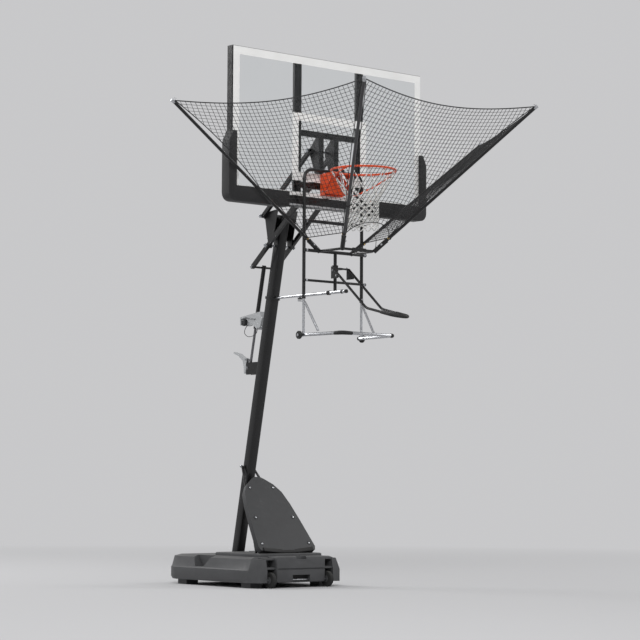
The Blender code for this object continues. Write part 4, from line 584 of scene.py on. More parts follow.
# Each finish: its maker and what the maker is given after the coordinates
FINISHES = {
    "powder_black": (coated, (0.007, 0.007, 0.0075), (0.05,) * 3, 0.32, 1100, 0.00025, 0.30, 0.08, 0.10),
    # A lighter copy of the black powder coat, painted to look lit: a painted highlight for one net arm
    "powder_painted_lit": (coated, (0.040, 0.040, 0.042), (0.16,) * 3, 0.34, 1100, 0.00025, 0.30, 0.10, 0.15),
    "ring_orange": (coated, (0.78, 0.085, 0.018), (0.33, 0.045, 0.02), 0.38, 900, 0.0003, 0.45, 0.06, 0.20),
    "moulded_grey": (coated, (0.066, 0.067, 0.070), (0.17,) * 3, 0.52, 420, 0.0006, 0.45, 0.22),
    "moulded_dark": (coated, (0.024, 0.025, 0.027), (0.11,) * 3, 0.50, 420, 0.0006, 0.40, 0.16),
    "cover_grey": (coated, (0.034, 0.035, 0.037), (0.13,) * 3, 0.46, 420, 0.0005, 0.45, 0.20),
    "moulded_light": (coated, (0.40, 0.41, 0.42), (0.30,) * 3, 0.48, 500, 0.0004, 0.35, 0.10),
    "foam_black": (coated, (0.014, 0.014, 0.015), (0.07,) * 3, 0.72, 260, 0.0011, 0.30, 0.12, 0.0, 0.12),
    "tyre_black": (coated, (0.022,) * 3, (0.12, 0.115, 0.11), 0.78, 300, 0.0009, 0.80, 0.15),
    "rubber_black": (coated, (0.016,) * 3, (0.06,) * 3, 0.66, 350, 0.0006, 0.30, 0.10),
    "line_white": (coated, (0.84, 0.84, 0.83), (0.62, 0.62, 0.61), 0.42, 600, 0.00015, 0.25, 0.0),
    "cable_sheath": (coated, (0.045, 0.045, 0.050), (0.12,) * 3, 0.50, 800, 0.0002, 0.20, 0.05),
    "zinc": (drawn_metal, (0.56, 0.57, 0.59), 0.27),
    "dark_zinc": (drawn_metal, (0.20, 0.20, 0.21), 0.34),
    "brass": (drawn_metal, (0.66, 0.46, 0.19), 0.30),
    "net_black": (laid_cord, (0.022, 0.022, 0.023), 0.74, 160.0, 0.0004),
    "rope_black": (laid_cord, (0.024, 0.024, 0.026), 0.68, 60.0, 0.0008),
    "net_white": (laid_cord, (0.88, 0.88, 0.86), 0.72, 95.0, 0.0005, 0.88),
    "acrylic": (clear_acrylic,),
}
SLOT_FINISHES = {
    "steel_black": "powder_black",
    "steel_bright": "zinc",
    "steel_red": "ring_orange",
    "poly_grey": "moulded_grey",
    "poly_light": "moulded_light",
    "pane": "acrylic",
    "pad": "foam_black",
    "tyre": "tyre_black",
    "cord_white": "net_white",
    "cord_black": "net_black",
    "cable": "cable_sheath",
}
NODE_FINISHES = {
    "lock_knob": "moulded_dark",
    "brace_knob": "moulded_dark",
    "stand_wheel_left": "rubber_black",
    "stand_wheel_right": "rubber_black",
    "fill_cap": "moulded_dark",
    "front_cover": "cover_grey",
    "actuator_rod": "dark_zinc",
    # The front left net arm gets the lighter copy of the black powder coat, painted to look lit
    "net_arm_left_front": "powder_painted_lit",
}


def finish(name):
    """The finish of that name, made when it is first asked for."""
    if name in bpy.data.materials:
        return bpy.data.materials[name]
    material, tree, shader, coordinates = new_finish(name)
    maker, *values = FINISHES[name]
    fill_inputs(tree, shader, maker(tree, coordinates, *values))
    return material


# Lines of the net fan


def pole_line(side, front):
    """The foot, direction and length of one pole of the fan; side is -1 or 1."""
    turn, rise, length = FRONT_POLE if front else BACK_POLE
    flat = math.cos(rise)
    along = np.array([side * flat * math.sin(turn), -flat * math.cos(turn), math.sin(rise)])
    foot = np.array([side * LOOP_HALF_WIDTH, LOOP_FRONT_Y if front else BAR_Y, LOOP_Z])
    return foot, along, length


def edge_bow(reach, side, front):
    """How far the net's edge stands off its pole: between two ties, a parabola with its top midway."""
    ties = np.array(FRONT_TIES if front else BACK_TIES)
    i = np.clip(np.searchsorted(ties, reach), 1, len(ties) - 1)
    span = ties[i] - ties[i - 1]
    share = np.clip((reach - ties[i - 1]) / span, 0, 1)
    return 4 * share * (1 - share) * (TIGHT_EDGE_BOW if front and side < 0 else EDGE_BOW) * span


def fan_points(first, second, droop, rise, u, v):
    """Points of a net between two poles: u goes from pole to pole and v from hem to top rope.

    Each edge point is the pole's foot + reach * direction + a step inwards of the pole's radius, a
    clearance and the edge's bow. Reach grows with v, and 4u(1-u) times the hem's rise or the rope's
    droop is added."""
    u, v = np.asarray(u, float)[..., None], np.asarray(v, float)[..., None]
    poles = [pole_line(*first), pole_line(*second)]
    (foot_a, along_a, length_a), (foot_b, along_b, length_b) = poles
    across = unit(2 * (foot_b - foot_a) + along_b * length_b - along_a * length_a)
    shift = 4 * u * (1 - u) * (rise * (1 - v) - droop * v)
    ends = []
    for (foot, along, length), pole, towards in zip(poles, (first, second), (across, -across)):
        reach = HEM_REACH + v * (length - HEM_REACH - TOP_REACH)
        inward = unit(towards - along * (towards @ along))
        offset = POLE_RADIUS + EDGE_CLEARANCE + edge_bow(reach, *pole)
        ends.append(foot + along * (reach + shift) + inward * offset)
    return ends[0] + (ends[1] - ends[0]) * u


def net_shells(panel, cell, thickness):
    """A knotted net of square cells between two poles.

    Row k lies at v = k over the number of rows. On it, knot j stands at j cells along the top rope's
    chord, so u = (j * cell - the left edge's place) / the row's width, held between 0 and 1."""
    start, end = fan_points(*panel, (0, 1), 1)
    chord = unit(end - start)
    low, high = fan_points(*panel, 0.5, (0, 1))
    rows = max(8, int(round(np.linalg.norm(high - low) / cell)))
    v = np.linspace(0.0, 1.0, rows + 1)
    left, right = ((fan_points(*panel, edge, v) - start) @ chord for edge in (0, 1))
    j = np.arange(math.floor(left.min() / cell), math.ceil(right.max() / cell) + 1)
    u = (j * cell - left[:, None]) / (right - left)[:, None]
    inside = (u > 0) & (u < 1)
    held = np.clip(u, 0.0, 1.0)
    points = fan_points(*panel, held, v[:, None])
    along_rows = np.diff(held) > 1e-4
    rises = inside[1:] | inside[:-1]
    lines = [
        np.stack([points[:, :-1][along_rows], points[:, 1:][along_rows]], 1),
        np.stack([points[:-1][rises], points[1:][rises]], 1),
    ]
    shells = [strands(np.concatenate(lines), thickness / 2), knots(points[inside], thickness * 0.95)]
    fine = np.linspace(0, 1, EDGE_POINTS)
    for edge in ((0, fine), (1, fine), (fine, 0)):
        shells.append(tube(fan_points(*panel, *edge), EDGE_CORD_RADIUS, 6))
    return shells


# Pieces


def bolt(place, axis, size):
    """A washer, a six-sided head with eased corners and the stud's end, along the axis."""
    washer = [(1.5, 0), (1.5, 0.22), (1.0, 0.26)]
    head = [(1.08, 0.2), (1.12, 0.3), (1.12, 0.85), (0.9, 1.0)]
    stud = [(0.5, 0.9), (0.5, 1.3), (0.38, 1.4)]
    parts = ((washer, 20), (head, 6), (stud, 12))
    return [turned(size * np.array(profile), place, axis, sides) for profile, sides in parts]


def side_bolts(x, y, z, size):
    """A bolt at each side of the middle plane, facing outwards."""
    return [shell for side in (-1, 1) for shell in bolt((side * x, y, z), (side, 0, 0), size)]


def collar(place, axis, inner, outer, length, edge=0.0012):
    """A band round a bar: a rectangle with eased outer corners turned round the bar's axis."""
    half = length / 2
    edges = [(outer - edge, -half), (outer, edge - half), (outer, half - edge), (outer - edge, half)]
    profile = [(inner, -half), *edges, (inner, half)]
    return skin(turned(profile, place, axis)[0].reshape(len(profile), -1, 3), True)


def make_top_ropes(sizes):
    """The three thick ropes between the poles' tips, each a round bar along the net's top line."""
    for name, panel in PANELS.items():
        path = fan_points(*panel, np.linspace(0, 1, 41), 1)
        shell = tube(path, sizes.rope_thickness / 2)
        obj = piece(f"top_rope_{name}", "board", [shell], "rope_black")


def make_tether():
    """The lock's retaining cord: a sheathed line smoothed through its seven points."""
    path = flowing(TETHER_ROUTE, 6)
    obj = piece("tether_cord", "actuator_tube", [tube(path, TETHER_THICKNESS / 2)], "cable_sheath")
    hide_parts("lock_tether")


def make_net_panels(sizes):
    """The three knotted nets of the fan, with their bound edges."""
    for name, panel in PANELS.items():
        shells = net_shells(panel, sizes.net_cell, sizes.net_cord)
        obj = piece(f"knotted_net_{name}", "board", shells, "net_black", 60)
        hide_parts(f"net_panel_{name}")


def make_ball_net(sizes):
    """The white ball net: twelve knots a row, turned half a step from row to row.

    Each strand is the straight line between two knots + 4s(1-s) * slack downwards, and outwards too
    below the first row. A loop hangs between each two of the last knots."""
    rows = np.array(BALL_NET_ROWS)[:, :, None]
    half_steps = 0.5 * (np.arange(len(rows)) % 2)[:, None]
    angle = 2 * np.pi * (np.arange(BALL_NET_KNOTS) + half_steps) / BALL_NET_KNOTS
    middle = np.array([0, RING_Y, 0])
    points = middle + rows[:, 1:] * arc(angle, EYE[0], EYE[1]) + rows[:, :1] * EYE[2]
    share = np.linspace(0, 1, 7)[:, None]
    slack = 4 * share * (1 - share) * BALL_NET_SLACK
    tops, close = [], []
    for turn in (0, 1):
        for row in range(len(rows) - 1):
            start = points[row][:, None]
            end = np.roll(points[row + 1], (row + 1) % 2 - turn, 0)[:, None]
            line = start + (end - start) * share
            out = flat_unit(line - middle) if row else 0
            (close if row else tops).append(line + (out - EYE[2]) * slack)
    last = points[-1][:, None]
    after = np.roll(last, -1, 0)
    half_way = (last + after) / 2
    out = flat_unit(half_way - middle)
    low = half_way + 2 * (BALL_NET_SLACK * out - BALL_NET_LOOP * EYE[2])
    close.append(bend(last, low, after, 7))
    knot = points[1:].reshape(-1, 1, 3) + np.linspace(-1, 1, 5)[:, None] * BALL_NET_HALF_KNOT * EYE[2]
    hang = points[0][:, None]
    out = flat_unit(hang - middle)
    loops = hang + BALL_NET_EYE * arc(np.linspace(0, 2 * np.pi, 9), out, EYE[2])
    shells = [
        strands(np.concatenate(tops), sizes.ball_cord * 0.42, 8),
        strands(np.concatenate(close), sizes.ball_cord * 0.5, 8),
        strands(knot, sizes.ball_cord * 0.8, 8),
        strands(loops, sizes.ball_cord * 0.42, 6),
    ]
    obj = piece("ball_net", "rim", shells, "net_white", 80)
    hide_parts("rim_net")


def make_ring_hooks():
    """Twelve wire hooks under the ring, each a half-round arch: cos a along the ring, sin a downwards."""
    out = arc(whole_turn(RING_HOOKS), EYE[0], EYE[1])
    centre = np.array([0, RING_Y, RING_Z - RING_ROD / 2]) + RING_RADIUS * out
    along = HOOK_HALF_WIDTH * np.cross(EYE[2], out)[:, None]
    arch = arc(np.linspace(0, np.pi, 9), along, -HOOK_DROP * EYE[2])
    piece("ring_hooks", "rim", [strands(centre[:, None] + arch, 0.0021, 8)], "ring_orange", 80)


def make_pads():
    """The edge pads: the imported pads' own shape, with its doubles merged and its edges rounded.

    Above the taper's foot, the outer face leans in by its spare width times s^2 (3 - 2s)."""
    for side in ("left", "right"):
        source = frame["nodes"][f"pad_{side}"].data
        source.calc_loop_triangles()
        place = np.empty(len(source.vertices) * 3)
        source.vertices.foreach_get("co", place)
        index = np.empty(len(source.loop_triangles) * 3, int)
        source.loop_triangles.foreach_get("vertices", index)
        single, where = np.unique(np.round(place.reshape(-1, 3), 6), axis=0, return_inverse=True)
        mesh = bpy.data.meshes.new(f"foam_pad_{side}")
        mesh.from_pydata(single.tolist(), [], where.reshape(-1)[index].reshape(-1, 3).tolist())
        work = bmesh.new()
        work.from_mesh(mesh)
        bmesh.ops.dissolve_limit(work, angle_limit=math.radians(1.0), verts=work.verts, edges=work.edges)
        for height in PAD_CUTS:
            everything = [*work.verts, *work.edges, *work.faces]
            level = {"plane_co": (0, 0, height), "plane_no": (0, 0, 1)}
            bmesh.ops.bisect_plane(work, geom=everything, dist=1e-5, **level)
        for corner in work.verts:
            spare = abs(corner.co.x) - PAD_TOP_X
            if corner.co.z > PAD_TAPER_Z and spare > 0:
                share = (corner.co.z - PAD_TAPER_Z) / PAD_TAPER_HEIGHT
                corner.co.x -= math.copysign(spare * share * share * (3 - 2 * share), corner.co.x)
        obj = dressed_object(mesh, work, "board", "foam_black")
        bevel = obj.modifiers.new("rounded edges", "BEVEL")
        bevel.width, bevel.segments, bevel.limit_method = PAD_EDGE, 3, "ANGLE"
        bevel.angle_limit = math.radians(28)
        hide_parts(f"pad_{side}")


def make_lines():
    """The board's white border and target, thin films on its clear sheet, and a light strip below them: a
    painted highlight on the frame's lower lip.
    """
    films = ((BORDER_OUTER, BORDER_INNER), (TARGET_OUTER, TARGET_INNER))
    shells = [window(outer, inner, FILM_FRONT, FILM_BACK) for outer, inner in films]
    piece("board_lines", "board", shells, "line_white", 20)
    # A light grey strip just in front of the black frame's lower lip: a painted highlight, not a part of
    # the board
    outline = [(-0.398, 2.7972), (0.398, 2.7972), (0.398, 2.8120), (-0.398, 2.8120)]
    strip = slab(outline, (0, -0.0052, 0), EYE[0], EYE[2], 0.0011)
    piece("lower_lip_painted_highlight", "board", [strip], "moulded_light")


def make_mount_fittings():
    """The four bolts that hold the ring's mount to the board."""
    places = [(x, -0.0051, z) for x in (-0.060, 0.060) for z in (2.912, 3.030)]
    bolts = [shell for place in places for shell in bolt(place, (0, -1, 0), 0.0058)]
    piece("mount_bolts", "board", bolts, "zinc")


def smoothing_tree():
    """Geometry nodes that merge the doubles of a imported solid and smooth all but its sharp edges."""
    name = "Merged and Smoothed"
    if name in bpy.data.node_groups:
        return bpy.data.node_groups[name]
    tree = bpy.data.node_groups.new(name, "GeometryNodeTree")
    for way in ("INPUT", "OUTPUT"):
        tree.interface.new_socket("Geometry", in_out=way, socket_type="NodeSocketGeometry")
    start, end = tree.nodes.new("NodeGroupInput"), tree.nodes.new("NodeGroupOutput")
    inputs = {"Geometry": start.outputs[0], "Distance": MERGE_DISTANCE}
    merged = add_node(tree, "GeometryNodeMergeByDistance", inputs).outputs[0]
    inputs = {"Geometry": merged, "Shade Smooth": True}
    smooth = add_node(tree, "GeometryNodeSetShadeSmooth", inputs, domain="FACE").outputs[0]
    angle = tree.nodes.new("GeometryNodeInputMeshEdgeAngle").outputs[0]
    inputs = {0: angle, 1: SHARP_ANGLE}
    sharp = add_node(tree, "FunctionNodeCompare", inputs, operation="GREATER_THAN").outputs[0]
    inputs = {"Geometry": smooth, "Selection": sharp, "Shade Smooth": False}
    edges = add_node(tree, "GeometryNodeSetShadeSmooth", inputs, domain="EDGE")
    tree.links.new(edges.outputs[0], end.inputs[0])
    return tree


def dress_solids():
    """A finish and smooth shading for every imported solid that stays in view."""
    for name, obj in frame["nodes"].items():
        look = finish(NODE_FINISHES.get(name) or SLOT_FINISHES[NODE_SLOTS[name]])
        if not obj.material_slots:
            obj.data.materials.append(look)
        for slot in obj.material_slots:
            slot.material = look
        obj.modifiers.new("smoothing", "NODES").node_group = smoothing_tree()


def make_fan_fittings():
    """Clips, tip caps and hooks on the poles, brass hem hooks, and ties down to the ring frame."""
    clips, caps, hooks, brass = [], [], [], []
    bore = POLE_RADIUS + 0.0001
    cap = [(0.0132, -0.030), (0.0138, -0.029), (0.0138, -0.002), (0.012, 0.0), (0.004, 0.0008)]
    for side, front in ((-1, False), (-1, True), (1, False), (1, True)):
        foot, along, length = pole_line(side, front)
        for reach in (FRONT_TIES if front else BACK_TIES)[:-1]:
            clips.append(collar(foot + along * reach, along, bore, POLE_RADIUS + 0.0032, 0.014))
        tip = foot + along * length
        caps.append(turned(cap, tip, along))
        inward = np.array([-side * (0.4 if front else 1.0), 0.7 if front else -0.2, 0])
        inward = unit(inward - along * (inward @ along))
        hook = arc(np.linspace(-np.pi / 2, np.pi, 14), along, inward)
        hooks.append(tube(tip - along * 0.016 + inward * 0.020 + 0.0065 * hook, 0.0018, 8))
        clips.append(collar(foot + along * 0.1195, along, bore, 0.0182, 0.006))
        out = unit(np.cross(along, EYE[2]))
        out = -np.sign(out[1]) * out
        caps += bolt(foot + along * 0.075 + out * 0.0168, out, 0.0050)
    for panel in PANELS.values():
        for corner in fan_points(*panel, (0, 1), 0):
            flat = flat_unit(corner + (0, 0.2, 0))
            ring = corner - (0, 0, 0.007) + 0.007 * arc(whole_turn(20), flat, EYE[2])
            brass.append(tube(ring, 0.0017, 8, True))
    ties = [tube(flowing(np.array(HEM_TIE) * (side, 1, 1)), 0.0022, 8) for side in (-1, 1)]
    piece("pole_clips", "board", clips, "rubber_black")
    piece("pole_caps", "board", caps, "zinc")
    piece("tip_hooks", "board", hooks, "zinc", 80)
    piece("hem_hooks", "board", brass, "brass", 80)
    piece("hem_ties", "board", ties, "rope_black", 80)


def make_frame_fittings():
    """Bolts and bands of the frame's bars, the stand's grip, its corner cap and its end caps."""
    bolts, bands, dark = [], [], []
    for side in (-1, 1):
        x = side * LEG_X
        for z in (LOOP_Z, UPPER_BAR_Z, LOWER_BAR_Z):
            radius = 0.0095 if z == LOWER_BAR_Z else 0.0125
            bolts += bolt((x, BAR_Y - radius + 0.0004, z), (0, -1, 0), 0.0062)
            bands.append(collar((side * 0.291, BAR_Y, z), EYE[0], radius, radius + 0.0016, 0.012))
        bands.append(collar((x, LEG_Y, 2.124), EYE[2], 0.0126, 0.0148, 0.016))
        bolts += bolt((x, LEG_Y - 0.0123, 2.140), (0, -1, 0), 0.0052)
        cap = [(0.0135, -0.014), (0.0142, -0.013), (0.0142, -0.001), (0.010, 0.001)]
        dark.append(turned(cap, (x, -0.0125, STAND_Z), EYE[1], 20))
    corner = bend(*np.array([(-0.2524, -0.405, 0), (-0.250, -0.44, 0), (-0.215, -0.44, 0)]), 9)
    grip = np.vstack([[-0.2551, -0.365, 0], corner, [-0.154, -0.44, 0]])
    for path in (grip, corner * (-1, 1, 1)):
        bands.append(sleeve(path + (0, 0, STAND_Z), 0.0150, 0.0132))
    bolts += side_bolts(0.3130, -0.0245, STAND_Z, 0.0050)
    piece("frame_bolts", "board", bolts, "zinc")
    piece("frame_bands", "board", bands, "rubber_black")
    piece("stand_caps", "board", dark, "moulded_dark")


def make_brace_fittings():
    """The brace's end collar, middle band and nose cap, and its knob's handle."""
    cap = [(0.0132, 0.0), (0.0142, -0.002), (0.0142, -0.014), (0.011, -0.017)]
    bands = [
        collar((0, 0, BRACE_Z), EYE[1], 0.0126, 0.0165, 0.030),
        collar((0, -0.150, BRACE_Z), EYE[1], 0.0126, 0.0150, 0.014),
        turned(cap, (0, -0.1875, BRACE_Z), EYE[1]),
    ]
    piece("brace_collars", "board", bands, "rubber_black")
    handle = tube([(-0.021, 0.335, BRACE_Z - 0.040), (0.021, 0.335, BRACE_Z - 0.040)], 0.0042)
    piece("brace_handle", "brace_knob", [handle], "zinc")


def make_chute_fittings():
    """Gusset plates under the chute's head, at both rails, their bolts, and the sleeve on its end loop."""
    plates, bolts = [], []
    outline = [(-0.112, 2.270), (-0.112, 2.3625), (-0.204, 2.2850), (-0.192, 2.2700)]
    for side in (-1, 1):
        x = side * CHUTE_HALF_WIDTH
        plates.append(slab(outline, (x + 0.002, 0, 0), EYE[1], EYE[2], 0.004, 0.0008))
        for y, z in ((-0.128, 2.330), (-0.172, 2.288)):
            bolts += bolt((x + side * 0.002, y, z), (side, 0, 0), 0.0050)
    gussets = piece("chute_gussets", "chute", plates, "powder_black")
    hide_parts("chute_plate")
    piece("chute_bolts", "chute", bolts, "zinc")
    out = np.array([0, -CHUTE_HALF_WIDTH, -0.0179])
    loop = (0, -0.752, 1.9729) + arc(np.linspace(0, np.pi, 21), CHUTE_HALF_WIDTH * EYE[0], out)
    rail = np.array([(0.075, -0.660, 1.9949), (0.075, -0.664, 1.99395), (0.075, -0.705, 1.98415)])
    path = np.vstack([rail, loop, rail[::-1] * (-1, 1, 1)])
    piece("chute_sleeve", "chute", [sleeve(path, 0.0120, 0.0098)], "rubber_black")


def make_lift_fittings():
    """Bolt heads and nuts on the lift's pins, seen at both sides of the pole and the board's lugs."""
    for name, body, *places in SIDE_NUTS:
        nuts = [shell for place in places for shell in side_bolts(*place)]
        piece(name, body, nuts, "zinc")


def make_actuator_fittings():
    """The lock knob's grip ribs and collar, and the lever's pin."""
    centre = np.array([-0.0250, 0.980, 2.007])
    out = 0.0250 * arc(whole_turn(16), EYE[1], EYE[2])
    line = np.array([-0.0095, 0.0095])[:, None] * EYE[0]
    ribs = [strands(centre + out[:, None] + line, 0.0022, 6)]
    ribs.append(collar(centre - (0.0123, 0, 0), EYE[0], 0.0125, 0.0205, 0.003))
    piece("knob_ribs", "lock_knob", ribs, "moulded_dark", 60)
    pin = side_bolts(0.0148, 0.976, 1.722, 0.0052)
    piece("lever_pin", "actuator_rod", pin, "zinc")


def make_base_fittings():
    """Cover and strut bolts, dark dimples, a dark band of painted shadow under the cover, the hand-hold's
    lining and hubs.
    """
    slope = unit([0, COVER_LEAN, 1.0])
    out = np.array([0, -slope[2], slope[1]])
    bolts, dimples = [], []
    dimple = [(0.0165, 0.0), (0.0165, 0.0010), (0.0130, 0.0018), (0.0110, 0.0004)]
    dome = [(0.0088, 0.0), (0.0088, 0.0022), (0.0074, 0.0040), (0.0045, 0.0052), (0.0020, 0.0055)]
    for x, z in COVER_BOLTS:
        for side in (-1, 1):
            face = (side * x, COVER_Y + (z - COVER_Z) * COVER_LEAN, z)
            dimples.append(turned(dimple, face, out, 28))
            bolts.append(turned(dome, face, out, 20))
    bolts += side_bolts(0.0595, 0.960, 0.900, 0.0085)
    piece("cover_bolts", "base", bolts, "zinc")
    piece("cover_dimples", "base", dimples, "moulded_dark")
    # A dark band along the cover's bowed lower edge: painted shadow between the cover and the tank
    across = np.linspace(-1, 1, 25)
    line = np.stack([0.236 * across, np.full(25, COVER_Y - 0.0005), 0.2830 - 0.016 * (1 - across**2)], -1)
    upper, lower = [(-0.0015, 0.016), (-0.0035, 0.013)], [(-0.0035, -0.012), (-0.0015, -0.015)]
    corners = np.array([*upper, *lower, (0.004, -0.015), (0.004, 0.016)])
    rings = line[:, None] - corners[:, :1] * out + corners[:, 1:] * slope
    piece("cover_painted_shadow", "base", [skin(rings)], "rubber_black")
    floor, wall = [(0.2998, 0.0465), (0.3444, 0.0465)], [(0.3444, 0.0946), (0.3405, 0.0946)]
    outline = [*floor, *wall, (0.3390, 0.0570), (0.2998, 0.0482)]
    liner = slab(outline, (0.0828, 0, 0), EYE[1], EYE[2], 0.1656, 0.0003)
    piece("handhold_liner", "base", [liner], "rubber_black")
    hub = [(0.0260, 0.0), (0.0250, 0.0022), (0.0150, 0.0030), (0.0120, 0.0052), (0.0040, 0.0058)]
    for name, x in (("left", -0.274), ("right", 0.274)):
        faces = [turned(hub, (x + face * 0.0155, 0.325, 0.0586), (face, 0, 0), 28) for face in (-1, 1)]
        piece(f"wheel_hub_{name}", f"wheel_{name}", faces, "moulded_grey")


# Studio


def turn_to(obj, right, up, back, place):
    """Turn an object's X, Y and Z to right, up and back, at its place."""
    obj.matrix_world = Matrix([[right[i], up[i], back[i], place[i]] for i in range(3)] + [[0, 0, 0, 1]])


def set_up_camera():
    """A camera at the photograph's place: its look direction from turn and pitch, then rolled."""
    turn, pitch, roll = CAMERA_TURN, CAMERA_PITCH, CAMERA_ROLL
    look = np.array([math.sin(turn) * math.cos(pitch), math.cos(turn) * math.cos(pitch), math.sin(pitch)])
    right = np.array([math.cos(turn), -math.sin(turn), 0])
    up = np.cross(right, look)
    right, up = right * math.cos(roll) + up * math.sin(roll), up * math.cos(roll) - right * math.sin(roll)
    data = bpy.data.cameras.new("camera")
    data.lens, data.sensor_width = LENS, SENSOR_WIDTH
    data.clip_start, data.clip_end = 0.1, 300
    camera = add_object("camera", data)
    turn_to(camera, right, up, -look, in_frame(CAMERA_PLACE))
    bpy.context.scene.camera = camera


def seen_directly(tree):
    """1 for rays from the camera, off a gloss or through glass, and 0 for the light on the object."""
    path = tree.nodes.new("ShaderNodeLightPath").outputs
    pair = calc(tree, "MAXIMUM", path["Is Camera Ray"], path["Is Glossy Ray"])
    return calc(tree, "MAXIMUM", pair, path["Is Transmission Ray"])


def set_up_world(pale):
    """A pale world to look at, and a white one that lights the object."""
    scene = bpy.context.scene
    scene.view_settings.view_transform = "Standard"
    scene.world = bpy.data.worlds.new("studio")
    scene.world.use_nodes = True
    tree = scene.world.node_tree
    tree.nodes.clear()
    lit = add_node(tree, "ShaderNodeBackground", {"Color": (1, 1, 1, 1), "Strength": WORLD_LIGHT})
    shown = add_node(tree, "ShaderNodeBackground", {"Color": pale, "Strength": 1.0})
    inputs = {0: seen_directly(tree), 1: lit.outputs[0], 2: shown.outputs[0]}
    mix = add_node(tree, "ShaderNodeMixShader", inputs)
    add_node(tree, "ShaderNodeOutputWorld", {0: mix.outputs[0]})


def make_floor(colour, pale):
    """A matt floor that fades into the pale world with its distance from the object."""
    mesh = bpy.data.meshes.new("floor")
    rim = FLOOR_RADIUS * arc(whole_turn(96), EYE[0], EYE[1])
    mesh.from_pydata(rim.tolist(), [], [list(range(len(rim)))])
    add_object("floor", mesh)
    material, tree, shader, coordinates = new_finish("studio_floor")
    fill_inputs(tree, shader, {"Base Color": colour, "Roughness": 0.9, "Specular IOR Level": 0.1})
    inputs = {0: coordinates["Object"]}
    far = add_node(tree, "ShaderNodeVectorMath", inputs, operation="LENGTH").outputs["Value"]
    glow = add_node(tree, "ShaderNodeEmission", {"Color": pale, "Strength": 1.0})
    inputs = {0: spread(tree, far, FADE_START, FADE_END), 1: shader.outputs[0], 2: glow.outputs[0]}
    mix = add_node(tree, "ShaderNodeMixShader", inputs)
    tree.links.new(mix.outputs[0], tree.nodes["Material Output"].inputs[0])
    mesh.materials.append(material)


def set_up_studio(colours):
    """The pale world, the floor that runs out into it, and three soft lamps."""
    pale = opaque(colours.backdrop)
    set_up_world(pale)
    make_floor(opaque(colours.floor), pale)
    for name, place, height, power, size in LAMPS:
        data = bpy.data.lights.new(name, "AREA")
        data.energy, data.shape, data.size = power, "DISK", size
        away = unit(np.array(place) - (0, 0, height))
        right = unit(np.cross(EYE[2], away))
        turn_to(add_object(name, data), right, np.cross(away, right), away, place)


# Add-on


class MachineSizes(bpy.types.PropertyGroup):
    """Sizes that a user may change."""

    rope_thickness: bpy.props.FloatProperty(
        name="Rope Thickness", description="Thickness of the fan's top ropes", unit="LENGTH",
        default=0.008, min=0.004, max=0.012,
    )
    net_cell: bpy.props.FloatProperty(
        name="Net Cell", description="Distance between the fan net's knots", unit="LENGTH",
        default=0.033, min=0.025, max=0.08,
    )
    net_cord: bpy.props.FloatProperty(
        name="Net Cord", description="Thickness of the fan net's cord", unit="LENGTH",
        default=0.0034, min=0.002, max=0.006,
    )
    ball_cord: bpy.props.FloatProperty(
        name="Ball Net Cord", description="Thickness of the ball net's cord", unit="LENGTH",
        default=0.0084, min=0.004, max=0.009,
    )


class MachineColours(bpy.types.PropertyGroup):
    """Colours that a user may change."""

    backdrop: bpy.props.FloatVectorProperty(
        name="Backdrop", description="Colour behind the object", subtype="COLOR",
        default=(0.58, 0.58, 0.59), min=0, max=1,
    )
    floor: bpy.props.FloatVectorProperty(
        name="Floor", description="Colour of the floor near the object", subtype="COLOR",
        default=(0.55, 0.55, 0.56), min=0, max=1,
    )


class MACHINE_OT_camera(bpy.types.Operator):
    """Place the camera"""

    bl_idname = "machine.camera"
    bl_label = "Camera"

    def execute(self, context):
        set_up_camera()
        return {"FINISHED"}


class MACHINE_OT_stage(bpy.types.Operator):
    """Make the floor, the world and the lamps"""

    bl_idname = "machine.stage"
    bl_label = "Floor and Lamps"

    def execute(self, context):
        set_up_studio(context.scene.machine_colours)
        return {"FINISHED"}


class MACHINE_OT_ropes(bpy.types.Operator):
    """Make the fan's top ropes and the lock's retaining cord"""

    bl_idname = "machine.ropes"
    bl_label = "Ropes"

    def execute(self, context):
        make_top_ropes(context.scene.machine_sizes)
        make_tether()
        return {"FINISHED"}


class MACHINE_OT_solids(bpy.types.Operator):
    """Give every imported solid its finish"""

    bl_idname = "machine.solids"
    bl_label = "Solids' Finishes"

    def execute(self, context):
        dress_solids()
        return {"FINISHED"}


class MACHINE_OT_nets(bpy.types.Operator):
    """Make the fan's nets and the ball net"""

    bl_idname = "machine.nets"
    bl_label = "Nets"

    def execute(self, context):
        make_net_panels(context.scene.machine_sizes)
        make_ball_net(context.scene.machine_sizes)
        return {"FINISHED"}


class MACHINE_OT_board(bpy.types.Operator):
    """Make the board's white lines, its edge pads and the ring's hooks and bolts"""

    bl_idname = "machine.board"
    bl_label = "Board and Ring"

    def execute(self, context):
        make_lines()
        make_pads()
        make_ring_hooks()
        make_mount_fittings()
        return {"FINISHED"}


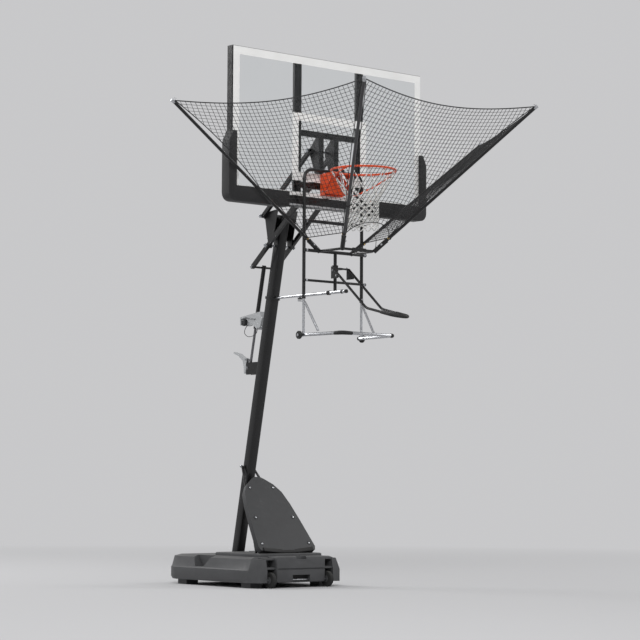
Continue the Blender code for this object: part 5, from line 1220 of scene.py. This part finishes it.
class MACHINE_OT_fan(bpy.types.Operator):
    """Make the fittings of the fan and of its frame"""

    bl_idname = "machine.fan"
    bl_label = "Fan and Frame Fittings"

    def execute(self, context):
        make_fan_fittings()
        make_frame_fittings()
        make_brace_fittings()
        make_chute_fittings()
        return {"FINISHED"}


class MACHINE_OT_hoop(bpy.types.Operator):
    """Make the fittings of the lift, its actuator and the base"""

    bl_idname = "machine.hoop"
    bl_label = "Lift and Base Fittings"

    def execute(self, context):
        make_lift_fittings()
        make_actuator_fittings()
        make_base_fittings()
        return {"FINISHED"}


OPERATORS = (
    MACHINE_OT_camera,
    MACHINE_OT_ropes,
    MACHINE_OT_nets,
    MACHINE_OT_solids,
    MACHINE_OT_board,
    MACHINE_OT_fan,
    MACHINE_OT_hoop,
    MACHINE_OT_stage,
)


class MACHINE_PT_panel(bpy.types.Panel):
    """The machine's sizes, colours and makers"""

    bl_label = "Shooting Machine"
    bl_idname = "MACHINE_PT_panel"
    bl_space_type = "VIEW_3D"
    bl_region_type = "UI"
    bl_category = "Machine"

    def draw(self, context):
        for group in (context.scene.machine_sizes, context.scene.machine_colours):
            for key in group.__annotations__:
                self.layout.prop(group, key)
        for operator in OPERATORS:
            self.layout.operator(operator.bl_idname)


CLASSES = (MachineSizes, MachineColours, *OPERATORS, MACHINE_PT_panel)


def register():
    for cls in CLASSES:
        bpy.utils.register_class(cls)
    bpy.types.Scene.machine_sizes = bpy.props.PointerProperty(type=MachineSizes)
    bpy.types.Scene.machine_colours = bpy.props.PointerProperty(type=MachineColours)


def unregister():
    del bpy.types.Scene.machine_colours
    del bpy.types.Scene.machine_sizes
    for cls in reversed(CLASSES):
        bpy.utils.unregister_class(cls)


def main():
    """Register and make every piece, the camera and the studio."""
    register()
    bpy.ops.machine.camera()
    bpy.ops.machine.ropes()
    bpy.ops.machine.nets()
    bpy.ops.machine.solids()
    bpy.ops.machine.board()
    bpy.ops.machine.fan()
    bpy.ops.machine.hoop()
    bpy.ops.machine.stage()
    bpy.context.view_layer.update()


if __name__ == "__main__":
    main()
